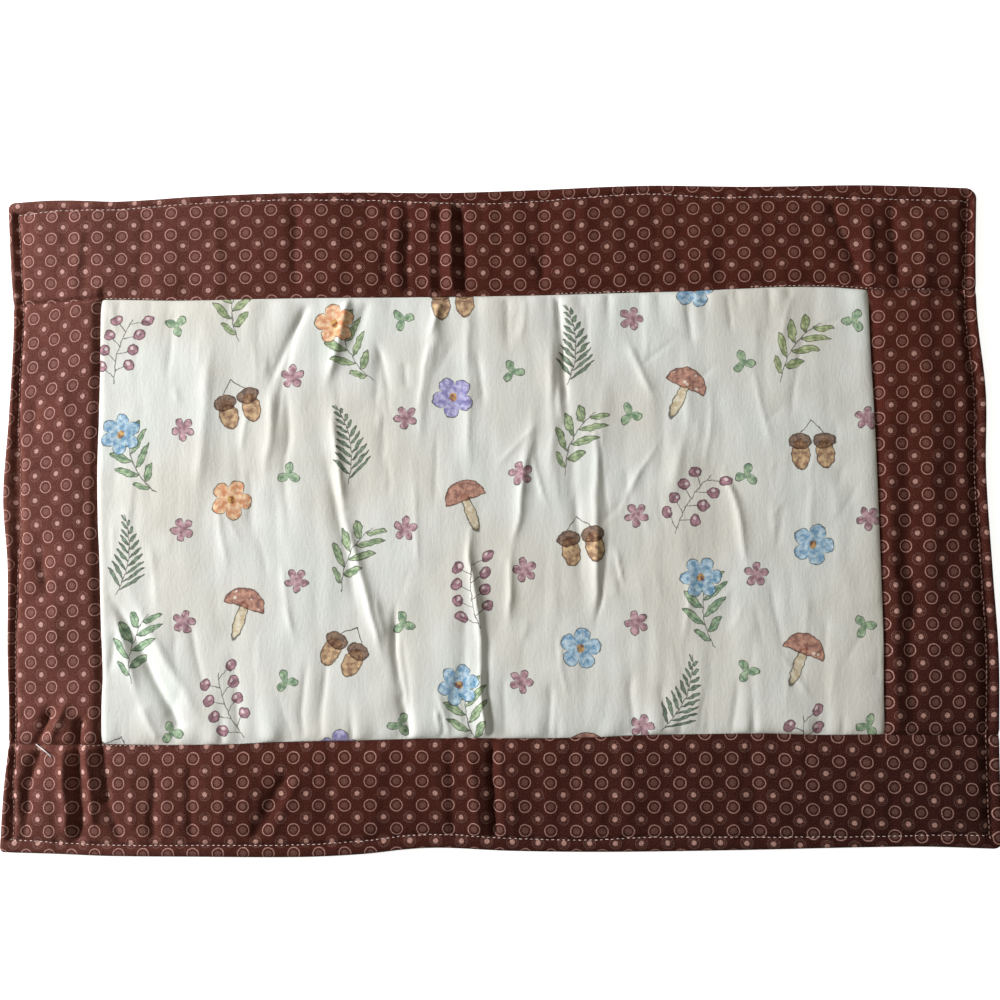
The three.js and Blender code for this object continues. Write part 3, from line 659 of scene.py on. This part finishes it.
# A number, place or colour passed between nodes. What is reckoned with it becomes more nodes
class Signal:
    def __init__(self, tree, socket):
        self.tree = tree
        self.socket = socket

    def do(self, operation, *others):
        vector = self.socket.type in ("VECTOR", "RGBA") or any(isinstance(other, tuple) for other in others)
        kind = "ShaderNodeVectorMath." if vector else "ShaderNodeMath."
        return addNode(self.tree, kind + operation, (self, *others))

    __add__ = partialmethod(do, "ADD")
    __sub__ = partialmethod(do, "SUBTRACT")
    __mul__ = partialmethod(do, "MULTIPLY")
    __truediv__ = partialmethod(do, "DIVIDE")
    __or__ = partialmethod(do, "MAXIMUM")
    __abs__ = partialmethod(do, "ABSOLUTE")

    # Every output of this one's node
    def outputs(self):
        return [Signal(self.tree, socket) for socket in self.socket.node.outputs]

    def split(self):
        return addNode(self.tree, "ShaderNodeSeparateXYZ", [self]).outputs()

    def length(self):
        return addNode(self.tree, "ShaderNodeVectorMath.LENGTH", [self], "Value")

    def ramp(self, low, high, start=0.0, end=1.0, **settings):
        return addNode(self.tree, "ShaderNodeMapRange", [self, low, high, start, end], **settings)

    # 1 where the value is under a limit, 0 over it, with a soft edge
    def under(self, limit, soft):
        return self.ramp(limit - soft, limit + soft, 1.0, 0.0, interpolation_type="SMOOTHSTEP")

    # One colour over another, as thick as this value says
    def blend(self, under, over):
        under, over = [srgb(paint) if isinstance(paint, str) else paint for paint in (under, over)]
        # This node's colour sockets go by number: two inputs, 6 and 7, and output 2
        return addNode(self.tree, "ShaderNodeMix", {0: self, 6: under, 7: over}, 2, data_type="RGBA")

    def noise(self, scale, detail, roughness=0.5, output=0):
        inputs = {"Vector": self, "Scale": scale, "Detail": detail, "Roughness": roughness}
        return addNode(self.tree, "ShaderNodeTexNoise", inputs, output)

    # A place pushed about by a slow noise, since printed lines are a little uneven
    def shaken(self, by, scale, reach):
        shake = by.noise(scale, 1.0, output="Color") - (0.5, 0.5, 0.5)
        return shake * (reach, reach, 0.0) + self

    # Uneven threads: a noise drawn out along the cloth, its scale per mm across and along
    def threads(self, across, along, detail=2.0):
        return (self * (across, along, 0.0)).noise(1.0, detail)


def newMaterial(name):
    material = bpy.data.materials.new(name)
    material.use_nodes = True
    material.node_tree.nodes.clear()
    return material, partial(addNode, material.node_tree)


# Ends a material: a bump from a height, and one Principled surface
def finish(add, colour, height, distance, surface):
    normal = add("ShaderNodeBump", {"Strength": 1.0, "Distance": distance, "Height": height})
    shader = add("ShaderNodeBsdfPrincipled", {"Base Color": colour, "Normal": normal, **surface})
    add("ShaderNodeOutputMaterial", {"Surface": shader})


# The dotted print and its dye. Shares run from 0 to 1, radii and widths are in mm
dottedPrint = {
    "repeat": (11.72, 11.0, 0.0),
    "ring": 2.70,
    # The first colour set is the brown with a painted sheen, warmer and paler, used on the window side; the
    # shaded colour is painted shade
    "paintedSheen": {"ground": "#6c3d33", "fibre": "#96695f", "pigment": "#e4b4aa"},
    "plainDye": {"ground": "#491c12", "fibre": "#7a473d", "pigment": "#c6998c"},
    "shaded": "#290c08",
    "patch": "#2a0d07",
    "mottle": "#220a06",
    "lint": "#d8c0b4",
}


# Printed plain-weave cotton: matt dark brown, a screen print of tan-pink rings and dots on top
def dottedCotton(name):
    material, add = newMaterial(name)
    uv = add("ShaderNodeUVMap", uv_map="print")
    onCloth = uv * dottedPrint["repeat"]
    place = uv.shaken(onCloth, 0.3, 0.055)
    grain = onCloth.noise(1.9, 2.0, 0.7)
    cells = [(place + (shift, shift, 0.0)).do("FRACTION") - (0.5, 0.5, 0.0) for shift in (0.5, 0.0)]
    ringRadius, dotRadius = [(cell * dottedPrint["repeat"]).length() for cell in cells]
    ring, cover, stipple = dottedPrint["ring"], grain.ramp(0.36, 0.58, 0.35, 1.0), grain.ramp(0.46, 0.58)
    # Rows: (radius read, middle of the line, half its width, soft edge, strength, how the ink takes)
    lines = [
        (ringRadius, ring, 0.20, 0.20, 0.92, cover), (ringRadius, 0.0, 1.55, 0.40, 0.19, cover),
        (dotRadius, 0.0, 1.15, 0.30, 0.95, cover), (dotRadius, ring, 0.10, 0.20, 0.28, cover),
        (dotRadius, 1.95, 0.35, 0.30, 0.18, stipple),
    ]
    ink = 0.0
    for radius, middle, half, soft, strength, taken in lines:
        ink = abs(radius - middle).under(half, soft) * strength * taken | ink
    # Painted light: the ground, fibres and ink are warmer and paler to the left, a painted sheen from the
    # window, and darker to the right and towards the bottom, painted shade where the window's light falls
    # off
    spot = add("ShaderNodeTexCoord", output="Object")
    x, y, _ = spot.split()
    fade = (y * -0.15 + x).ramp(-0.235, -0.085)
    ground, fibre, pigment = [fade.blend(dottedPrint["paintedSheen"][part], dottedPrint["plainDye"][part])
                              for part in ("ground", "fibre", "pigment")]
    # Painted shade: darker to the right and towards the bottom
    ground = (y * -2.2 + x).ramp(0.05, 0.50).blend(ground, dottedPrint["shaded"])
    ground = spot.noise(24.0, 2.0).ramp(0.4, 0.7, 0.0, 0.3).blend(ground, dottedPrint["patch"])
    ground = onCloth.noise(0.6, 3.0, 0.75).ramp(0.36, 0.54, 0.38, 0.0).blend(ground, dottedPrint["mottle"])
    ground = grain.ramp(0.46, 0.68, 0.0, 0.42).blend(ground, fibre)
    colour = grain.ramp(0.77, 0.83, 0.0, 0.6).blend(ink.blend(ground, pigment), dottedPrint["lint"])
    finish(add, colour, onCloth.threads(0.5, 2.4) * 0.6 + onCloth.threads(2.4, 0.5), 0.00016,
           {"Roughness": 0.9, "Specular IOR Level": 0.12, "Sheen Weight": 0.04, "Sheen Roughness": 0.5,
            "Sheen Tint": srgb("#e8b8ac")})
    return material


# Plain-weave dyed cotton without a print: matt, with slightly uneven dye
def plainCotton(name, code, darker):
    material, add = newMaterial(name)
    uv = add("ShaderNodeUVMap", uv_map="print")
    finish(add, uv.noise(0.08, 4.0).ramp(0.3, 0.7).blend(code, darker),
           uv.threads(0.5, 2.4) + uv.threads(2.4, 0.5), 0.00018,
           {"Roughness": 0.92, "Specular IOR Level": 0.2, "Sheen Weight": 0.1})
    return material


# Mercerised cotton sewing thread: two plies twisted, a faint gloss along them
def threadCotton(name, code, darker):
    material, add = newMaterial(name)
    spot = add("ShaderNodeTexCoord", output="Object")
    inputs = {"Vector": spot, "Scale": 900.0, "Distortion": 1.0}
    ply = add("ShaderNodeTexWave", inputs, bands_direction="DIAGONAL")
    finish(add, ply.blend(code, darker), ply, 0.00005, {"Roughness": 0.55, "Sheen Weight": 0.15})
    return material


# The plant print: pen lines filled with thin washes. One motif stands in each place of a
# half-drop grid, and the kinds follow each other so that no two neighbours are alike.
# Small motifs of two kinds stand between them. Sizes are in mm, turns in degrees either way
plantPrint = {
    "grid": (53.0, 47.0),
    "large": {"start": (13.0, 9.0), "sway": (10.0, 7.0), "turn": 36.0},
    "small": {"start": (39.5, 20.75), "sway": (6.0, 6.0), "turn": 180.0},
    "kinds": 7,
    "pen": "#45443a",
    "wash": 0.88,
}
leafySprig, roundBloom, berrySprig, fernFrond, acornPair, toadstool, stemmedBloom = range(7)


# The places of a grid: coordinates round each one's middle, its number and two chance values
def motifGrid(add, place, start, sway, turn):
    wide, tall = plantPrint["grid"]
    x, y, _ = (place - (*start, 0.0)).split()
    column = (x / wide).do("FLOOR")
    y = (column * 0.5).do("FRACT") * tall + y
    row = (y / tall).do("FLOOR")
    cell = add("ShaderNodeCombineXYZ", [column, row, 0.0])
    chance = add("ShaderNodeTexWhiteNoise", {"Vector": cell}, output="Color")
    near = add("ShaderNodeCombineXYZ", [x, y, 0.0]) - (cell * (wide, tall, 0.0) + (wide / 2, tall / 2, 0.0))
    near = (chance - (0.5, 0.5, 0.5)) * (*sway, 0.0) + near
    first, second, third = chance.split()
    angle = third.ramp(0.0, 1.0, -math.radians(turn), math.radians(turn))
    near = add("ShaderNodeVectorRotate", {"Vector": near, "Angle": angle}, rotation_type="Z_AXIS")
    return *near.split()[:2], row * 3.0 + column * 2.0, first, second


# A fine pen line along an edge, where its measure is 0
def penLine(edge):
    return abs(edge).under(0.24, 0.20)


# A curved stem with a leaf to each side at every pitch: gives the leaf mask and the pen mask
def sprig(x, y, reach, leaf, pitch, bend, slant, shape):
    s = x - y * y * bend
    u = abs(s)
    shift = s.do("SIGN") * (pitch / 4)
    along = y + (u * -slant + shift)
    v = along.do("WRAP", pitch / 2, -pitch / 2)
    # Where the leaf grows out of the stem
    base = along - v - shift
    v = abs(v)
    if shape == "even":
        taper = 1.0
    elif shape == "tipped":
        taper = base.ramp(-reach, reach, 1.0, 0.12)
    else:
        share = base / reach
        taper = (share * share * -1.0 + 1.0 | 0.001).do("POWER", 0.6)
    t = (u / (taper * leaf[0])).do("MINIMUM", 1.0)
    edge = (t * math.pi).do("SINE") * -leaf[1] + v
    whole = abs(base).do("LESS_THAN", reach - 0.6) * t.do("LESS_THAN", 0.98)
    stem = u.under(0.22, 0.16) * abs(y).under(reach, 0.2)
    return edge.under(0.0, 0.18) * whole, (penLine(edge) | v.under(0.12, 0.14)) * whole | stem


# A round flower face: gives the petals, the eye and the pen mask
def bloom(add, x, y, petals, radius, depth, roundness=0.5):
    r = add("ShaderNodeCombineXYZ", [x, y, 0.0]).length()
    angle = y.do("ARCTAN2", x) * petals
    lobe = abs(angle.do("COSINE")).do("POWER", roundness)
    edge = r - (lobe * (radius * depth) + radius * (1 - depth))
    # Each petal has a midrib and finer strokes beside it
    across = abs(angle.do("SINE"))
    rib = across.under(0.05, 0.07) * r.under(radius * 0.75, 0.5)
    fork = abs(across - 0.45).under(0.03, 0.07) * r.under(radius * 0.55, 0.5)
    return edge.under(0.0, 0.2), r.under(radius * 0.19, 0.25), penLine(edge) | (rib | fork) * 0.55


# Signed measure of an oval, below 0 inside it, in about millimetres
def disc(add, x, y, centre, radii):
    place = (add("ShaderNodeCombineXYZ", [x, y, 0.0]) - (*centre, 0.0)) / (*radii, 1.0)
    return place.length() * min(radii) - min(radii)


# Printed plain-weave cotton: cream ground, pen-and-wash sprigs, blossoms, berries and acorns
def plantCotton(name):
    material, add = newMaterial(name)
    uv = add("ShaderNodeUVMap", uv_map="print")
    place = uv.shaken(uv, 0.32, 1.7)
    grain = uv.noise(1.7, 2.0, 0.65)
    tone = uv.noise(0.42, 2.0).ramp(0.36, 0.62)

    # Cream ground with warm and greenish clouds
    clouds = uv.noise(0.016, 3.0)
    colour = clouds.ramp(0.42, 0.62, 0.0, 0.7).blend("#e2e2dc", "#dbd7ca")
    colour = clouds.ramp(0.50, 0.36, 0.0, 0.7).blend(colour, "#dfe4db")
    colour = grain.ramp(0.45, 0.75, 0.0, 0.22).blend(colour, "#b9b3a2")

    def paint(under, mask, light, dark):
        return (mask * plantPrint["wash"]).blend(under, tone.blend(light, dark))

    def draw(under, mask, pen=plantPrint["pen"]):
        return (mask * grain.ramp(0.3, 0.6, 0.55, 1.0)).blend(under, pen)

    # A shape painted where its measure is below 0, with its edge drawn
    def form(under, edge, where, light, dark, pen=plantPrint["pen"]):
        return draw(paint(under, edge.under(0.0, 0.2) * where, light, dark), penLine(edge) * where, pen)

    x, y, number, first, second = motifGrid(add, place, **plantPrint["large"])
    kind = number.do("FLOORED_MODULO", plantPrint["kinds"])

    def chosen(which):
        return kind.do("COMPARE", float(which), 0.5)

    # Leafy sprigs, alone or as the stem of a flower
    stemmed = chosen(stemmedBloom)
    leafy = chosen(leafySprig) | stemmed
    leafMask, line = sprig(x, stemmed * 5.0 + y, 16.5, (10.5, 2.3), 7.4, 0.016, 0.8, "oval")
    light, dark = first.blend("#a8c49c", "#b9c48f"), first.blend("#4f7a58", "#76894c")
    colour = draw(paint(colour, leafMask * leafy, light, dark), line * leafy)

    # Ferns
    leafMask, line = sprig(x, y, 19.0, (10.0, 1.05), 3.9, -0.012, 0.95, "tipped")
    fern = chosen(fernFrond)
    colour = draw(paint(colour, leafMask * fern, "#8aa586", "#43614a"), line * fern)

    # Flower faces in blue, peach or violet
    flower = chosen(roundBloom) | stemmed
    petals = second.do("ROUND") * 0.5 + 2.5
    petalMask, eye, line = bloom(add, x, stemmed * -11.0 + y, petals, 9.6, 0.5)
    light, dark = "#c3dbe8", "#5f94bb"
    for over, lighter, darker in ((0.42, "#f3cfa4", "#d4824c"), (0.74, "#c6c0e6", "#7a73b4")):
        step = first.do("GREATER_THAN", over)
        light, dark = step.blend(light, lighter), step.blend(dark, darker)
    colour = draw(paint(colour, petalMask * flower, light, dark), line * flower)
    colour = paint(colour, eye * flower, "#d9a94e", "#7a4428")

    # Berries to either side of a stem, each higher up than the foot of its stalk
    berries = chosen(berrySprig)
    bend, pitch, slant, reach = 0.010, 7.6, 0.6, 6.6
    colour = draw(colour, sprig(x, y, 16.0, (6.4, 0.0), pitch, bend, slant, "even")[1] * berries)
    s = y * y * -bend + x
    u = abs(s)
    v = (y - slant * reach + s.do("SIGN") * (pitch / 4)).do("WRAP", pitch / 2, -pitch / 2)
    berries = abs(y - v - slant * reach).do("LESS_THAN", 15.4) * berries
    berry = disc(add, u, v, (reach, 0.0), (2.5, 2.5))
    colour = form(colour, berry, berries, "#b98393", "#6e3d4e", "#4d2b38")
    shine = disc(add, u, v, (5.9, 0.8), (0.8, 0.8)).under(0.0, 0.3)
    colour = (shine * berries * 0.7).blend(colour, "#efe2dc")

    # A pair of acorns
    acorns = chosen(acornPair)
    u = abs(x)
    nut = disc(add, u, y, (5.6, -4.2), (4.2, 6.6))
    colour = form(colour, nut, acorns, "#d9b483", "#8a5c38", "#4e3322")
    cap = disc(add, u, y, (5.6, 1.8), (5.1, 3.5))
    onCap = cap.under(0.0, 0.2)
    colour = paint(colour, onCap * acorns, "#9a7558", "#5a3a2b")
    waves = (add("ShaderNodeCombineXYZ", [x, y, 0.0]) * (2.2, 2.2, 2.2)).do("SINE").split()
    hatch = abs(waves[0]).do("MINIMUM", abs(waves[1])).under(0.16, 0.14)
    hatch = hatch * 0.7 * onCap | penLine(cap)
    stalk = abs(u * 1.1 + y - 11.4).under(0.34, 0.2) * u.under(5.7, 0.2) * y.do("GREATER_THAN", 4.9)
    colour = draw(colour, (hatch | stalk) * acorns, "#3c261a")

    # A toadstool with a spotted cap
    fungus = chosen(toadstool)
    colour = form(colour, disc(add, x, y, (0.0, -6.5), (2.4, 9.0)), fungus, "#e8ddc4", "#c3ad84")
    dome = disc(add, x, y, (0.0, 0.0), (9.6, 9.0)) | y * -1.0 - 0.2
    colour = paint(colour, dome.under(0.0, 0.2) * fungus, "#c98f76", "#84483a")
    spots = add("ShaderNodeTexVoronoi", {"Vector": uv, "Scale": 0.27}).under(0.22, 0.05)
    colour = (spots * dome.under(-0.8, 0.3) * fungus * 0.8).blend(colour, "#eee2cf")
    colour = draw(colour, penLine(dome) * fungus, "#4e2f26")

    # Small plum blossoms and green leaves in threes between them
    x, y, _, first, _ = motifGrid(add, place, **plantPrint["small"])
    step = first.do("GREATER_THAN", 0.5)
    petalMask, _, line = bloom(add, x, y, step * -1.0 + 2.5, 5.6, 0.8, step * 1.1 + 0.5)
    light, dark = step.blend("#cfa3ac", "#b3cba4"), step.blend("#855063", "#5c8460")
    colour = draw(paint(colour, petalMask, light, dark), line)

    # Faint upright wrinkles, a millimetre or so across
    finish(add, colour, uv.threads(0.75, 0.28, 3.0), 0.00012,
           {"Roughness": 0.85, "Specular IOR Level": 0.25, "Sheen Weight": 0.05})
    return material


print("making the materials")
creamPrint = plantCotton("creamPrintedCotton")
brownPrint = dottedCotton("brownPrintedCotton")
brownPlain = plainCotton("brownPlainCotton", "#5b4038", "#4a322c")
creamThread = threadCotton("creamSewingThread", "#fff0e8", "#dfc3b8")
tanThread = threadCotton("tanSewingThread", "#b98a7e", "#80574d")
fineThread = threadCotton("fineSewingThread", "#ead8cd", "#bda496")

panel.data.materials.append(creamPrint)
for strip in (topStrip, bottomStrip, leftStrip, rightStrip):
    strip.data.materials.append(brownPrint)
back.data.materials.append(brownPlain)


# Sewing. One tree lays stitches along any line
def stitchTree():
    tree = bpy.data.node_groups.new("stitchesAlongLine", "GeometryNodeTree")
    tree.interface.new_socket("Line", in_out="INPUT", socket_type="NodeSocketGeometry")
    for socket in ("Pitch", "Length", "Thickness", "Sway"):
        tree.interface.new_socket(socket, in_out="INPUT", socket_type="NodeSocketFloat")
    tree.interface.new_socket("Thread", in_out="INPUT", socket_type="NodeSocketMaterial")
    tree.interface.new_socket("Stitches", in_out="OUTPUT", socket_type="NodeSocketGeometry")
    add = partial(addNode, tree)
    line = add("NodeGroupInput")
    pitch, length, thickness, sway, thread = line.outputs()[1:6]
    points = add("GeometryNodeCurveToPoints", {"Curve": line, "Length": pitch}, mode="LENGTH")
    rotation = add("FunctionNodeAlignRotationToVector", {"Vector": points.outputs()[1]}, axis="X")

    def chance(low, high, seed):
        inputs = {"Min": low, "Max": high, "Seed": seed}
        return add("FunctionNodeRandomValue", inputs, data_type="FLOAT_VECTOR")

    turn = chance((-0.05, -0.08, -0.12), (0.05, 0.08, 0.12), 4)
    inputs = {"Rotation": rotation, "Rotate By": turn}
    rotation = add("FunctionNodeRotateRotation", inputs, rotation_space="LOCAL")
    drift = chance((-1.0, -1.0, -0.5), (1.0, 1.0, 0.5), 9) * sway
    points = add("GeometryNodeSetPosition", {"Geometry": points, "Offset": drift})
    bead = add("GeometryNodeMeshUVSphere", {"Segments": 6, "Rings": 5, "Radius": 0.5})
    size = add("ShaderNodeCombineXYZ", [thickness, thickness, length])
    bead = add("GeometryNodeTransform", {"Geometry": bead, "Rotation": (0, math.pi / 2, 0), "Scale": size})
    bead = add("GeometryNodeSetShadeSmooth", {"Geometry": bead})
    stretch = chance((0.85, 0.9, 0.9), (1.1, 1.1, 1.1), 2)
    inputs = {"Points": points, "Instance": bead, "Rotation": rotation, "Scale": stretch}
    laid = add("GeometryNodeInstanceOnPoints", inputs)
    real = add("GeometryNodeRealizeInstances", {"Geometry": laid})
    add("NodeGroupOutput", {0: add("GeometryNodeSetMaterial", {"Geometry": real, "Material": thread})})
    return tree


# Stitches along lines of points in mm, as one plain mesh
def sew(name, lines, tree, settings, thread):
    curve = bpy.data.curves.new(name + "Line", "CURVE")
    curve.dimensions = "3D"
    for line in lines:
        spline = curve.splines.new("POLY")
        spline.points.add(len(line) - 1)
        spline.points.foreach_set("co", np.hstack([line * mm, np.ones((len(line), 1))]).ravel())
    guide = bpy.data.objects.new(name + "Line", curve)
    bpy.context.collection.objects.link(guide)
    modifier = guide.modifiers.new("stitches", "NODES")
    modifier.node_group = tree
    values = {"Thread": thread, **{name: size * mm for name, size in settings.items()}}
    for item in tree.interface.items_tree:
        if item.name in values:
            modifier[item.identifier] = values[item.name]
    bpy.context.view_layer.update()
    made = guide.evaluated_get(bpy.context.evaluated_depsgraph_get())
    mesh = bpy.data.meshes.new_from_object(made)
    mesh.name = name
    piece = bpy.data.objects.new(name, mesh)
    bpy.context.collection.objects.link(piece)
    bpy.data.objects.remove(guide)
    return piece


stitching = {
    "top": {"Pitch": 2.5, "Length": 1.75, "Thickness": 0.34, "Sway": 0.08},
    "bottom": {"Pitch": 2.45, "Length": 1.45, "Thickness": 0.36, "Sway": 0.10},
    "side": {"Pitch": 2.4, "Length": 1.8, "Thickness": 0.62, "Sway": 0.12},
    "panel": {"Pitch": 2.2, "Length": 1.35, "Thickness": 0.34, "Sway": 0.14},
    "panelOffset": 0.45,
    # How far the stitches along the long seams stand out of the cloth, where they do. Rows: (place, height)
    "showing": {
        "top": [
            (-219, -0.5), (-186, -0.5), (-181, 0.12), (-163, 0.12), (-155, -0.12), (-110, -0.2),
            (-90, -0.45), (28, -0.45), (34, 0.1), (67, 0.1), (74, -0.4), (118, -0.4), (125, 0.12),
            (177, 0.12), (184, -0.3), (194, -0.18), (214, -0.18), (219, -0.3),
        ],
        "bottom": [
            (-219, -0.5), (-196, -0.5), (-191, 0.12), (-163, 0.12), (-155, -0.15), (-60, -0.22),
            (0, -0.4), (219, -0.4),
        ],
    },
    "lift": {"top": 0.06, "bottom": 0.06, "left": 0.45, "right": 0.40, "back": 0.05},
    # On the right the thread is drawn under in the far half. Rows: (place, depth)
    "sunk": [(-147, 0.0), (24, 0.0), (38, 0.3), (147, 0.3)],
    "shift": {"top": 0.0, "bottom": 0.0, "left": 0.55, "right": -0.1},
}


# Places of the topstitch along one side, from corner to corner
def stitchLine(side, count=900):
    if side in longSides:
        x = np.linspace(-224.0, 222.6, count)
        y = readLine(outline[side], x) - readLine(stitchInset[side], x)
        return (x, y) if side == "top" else (x, -y)
    y = np.linspace(-147.0, 146.5 if side == "left" else 145.0, count)
    x = readLine(outline[side], y) - readLine(stitchInset[side], y) - stitching["shift"][side]
    return (-x, y) if side == "left" else (x, y)


# Places just outside a long seam, on the long strip
def seamLine(side, offset, count=900):
    x = np.linspace(-219.0, 219.0, count)
    y = readLine(seams[side], x) + offset
    return (x, y) if side == "top" else (x, -y)


def laidOn(surface, place, lift):
    return np.stack([*place, surface(*place) + lift], axis=1)


print("sewing")
tree = stitchTree()
runs = {side: laidOn(borderSurface, stitchLine(side), stitching["lift"][side]) for side in sides}
runs["right"][:, 2] -= readLine(stitching["sunk"], runs["right"][:, 1])
panelLines = []
for side in longSides:
    x, y = seamLine(side, stitching["panelOffset"])
    lift = readLine(stitching["showing"][side], x) + 0.05 * softNoise(x / 9, 0.0, 61)
    panelLines.append(laidOn(borderSurface, (x, y), lift))
backRun = [laidOn(underside, stitchLine(side), stitching["lift"]["back"]) for side in sides]
topStitches = sew("topTopstitch", [runs["top"]], tree, stitching["top"], creamThread)
bottomStitches = sew("bottomTopstitch", [runs["bottom"]], tree, stitching["bottom"], creamThread)
sideStitches = sew("sideTopstitch", [runs["left"], runs["right"]], tree, stitching["side"], tanThread)
panelStitches = sew("panelStitch", panelLines, tree, stitching["panel"], fineThread)
backStitches = sew("backStitch", backRun, tree, stitching["side"], tanThread)


# The end of the thread, left uncut at the lower left corner of the panel
threadTail = {
    "route": [(-212.9, -103.6, 0.25), (-211.6, -104.5, 0.7), (-209.8, -105.5, 1.0), (-207.8, -106.5, 1.0),
              (-206.2, -107.7, 0.7), (-204.8, -109.3, 0.3)],
    "radius": 0.25,
    "sides": 6,
    "steps": 26,
}


def addTail(piece):
    route = np.array([(x, y, float(borderSurface(x, y)) + lift) for x, y, lift in threadTail["route"]])
    at = np.linspace(0, len(route) - 1, threadTail["steps"])
    path = np.stack([readLine(list(enumerate(route[:, k])), at) for k in range(3)], axis=1)
    rings = []
    for k, point in enumerate(path):
        ahead = path[min(k + 1, len(path) - 1)] - path[max(k - 1, 0)]
        side = np.cross(ahead, (0, 0, 1))
        side /= np.linalg.norm(side)
        up = np.cross(side, ahead)
        up /= np.linalg.norm(up)
        turn = np.arange(threadTail["sides"]) * math.tau / threadTail["sides"]
        ring = point + threadTail["radius"] * (np.cos(turn)[:, None] * side + np.sin(turn)[:, None] * up)
        rings.append(ring)
    shape = bmesh.new()
    shape.from_mesh(piece.data)
    loops = [[shape.verts.new(Vector(p * mm)) for p in ring] for ring in rings]
    count = threadTail["sides"]
    for low, high in zip(loops, loops[1:]):
        for k in range(count):
            shape.faces.new((low[k], low[(k + 1) % count], high[(k + 1) % count], high[k])).smooth = True
    shape.faces.new(loops[0][::-1])
    shape.faces.new(loops[-1])
    bmesh.ops.recalc_face_normals(shape, faces=shape.faces)
    shape.to_mesh(piece.data)
    shape.free()


addTail(panelStitches)

# What each piece stands for, and its cut size in metres before it was sewn
pieces = [
    (panel, "centre_panel", "cream_cotton", (0.364, 0.208)),
    (topStrip, "border_top", "brown_cotton", (0.461, 0.052)),
    (bottomStrip, "border_bottom", "brown_cotton", (0.461, 0.054)),
    (leftStrip, "border_left", "brown_cotton", (0.208, 0.048)),
    (rightStrip, "border_right", "brown_cotton", (0.205, 0.053)),
    (back, "back_cloth", "back_cotton", (0.459, 0.309)),
]
for piece, node, slot, cut in pieces:
    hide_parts(node)
    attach(piece, "root")
for piece, slot in (
    (topStitches, "brown_cotton"),
    (bottomStitches, "brown_cotton"),
    (sideStitches, "brown_cotton"),
    (panelStitches, "brown_cotton"),
    (backStitches, "back_cotton"),
):
    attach(piece, "root")

# Pale floor
floorMesh = bpy.data.meshes.new("floor")
reach, drop = 3.0, -0.0002
corners = [(-reach, -reach, drop), (reach, -reach, drop), (reach, reach, drop), (-reach, reach, drop)]
floorMesh.from_pydata(corners, [], [(0, 1, 2, 3)])
floor = bpy.data.objects.new("floor", floorMesh)
bpy.context.collection.objects.link(floor)
paper, add = newMaterial("paleFloor")
shader = add("ShaderNodeBsdfPrincipled", {"Base Color": srgb("#f4f3f1"), "Roughness": 0.9,
                                          "Emission Color": (1.0, 1.0, 1.0, 1.0), "Emission Strength": 0.8})
add("ShaderNodeOutputMaterial", {"Surface": shader})
floorMesh.materials.append(paper)
floor.visible_diffuse = False

# Soft light: a low window on the left, and an even room around it
lights = {
    "window": (-1.46, 0.35, 0.70),
    "size": 0.7,
    "power": 44.0,
    "colour": (0.97, 0.985, 1.02),
    "room": 0.24,
    "roomColour": (1.0, 0.975, 0.87, 1.0),
}
window = bpy.data.lights.new("window", "AREA")
window.shape = "SQUARE"
window.size = lights["size"]
window.energy = lights["power"]
window.color = lights["colour"]
lamp = bpy.data.objects.new("window", window)
lamp.location = lights["window"]
lamp.rotation_euler = (-Vector(lights["window"])).to_track_quat("-Z", "Y").to_euler()
bpy.context.collection.objects.link(lamp)
world = bpy.data.worlds.new("room")
world.use_nodes = True
background = world.node_tree.nodes["Background"]
background.inputs["Color"].default_value = lights["roomColour"]
background.inputs["Strength"].default_value = lights["room"]
bpy.context.scene.world = world
bpy.context.scene.view_settings.view_transform = "Standard"

# Camera over the mat, a little right of and below its middle, almost level
camera = {
    "eye": (30.9, -34.9, 620.1),
    "target": (4.4, 8.0, 0.0),
    "roll": -0.53,
    "lens": 48.0,
    "sensor": 36.0,
}
away = (Vector(camera["eye"]) - Vector(camera["target"])).normalized()
across = Vector((0, 1, 0)).cross(away).normalized()
upward = away.cross(across)
roll = math.radians(camera["roll"])
right = across * math.cos(roll) + upward * math.sin(roll)
up = upward * math.cos(roll) - across * math.sin(roll)
view = bpy.data.cameras.new("camera")
view.lens = camera["lens"]
view.sensor_width = camera["sensor"]
eye = bpy.data.objects.new("camera", view)
turned = Matrix((right, up, away)).transposed().to_4x4()
eye.matrix_world = Matrix.Translation(Vector(camera["eye"]) * mm) @ turned
bpy.context.collection.objects.link(eye)
bpy.context.scene.camera = eye

print("done")
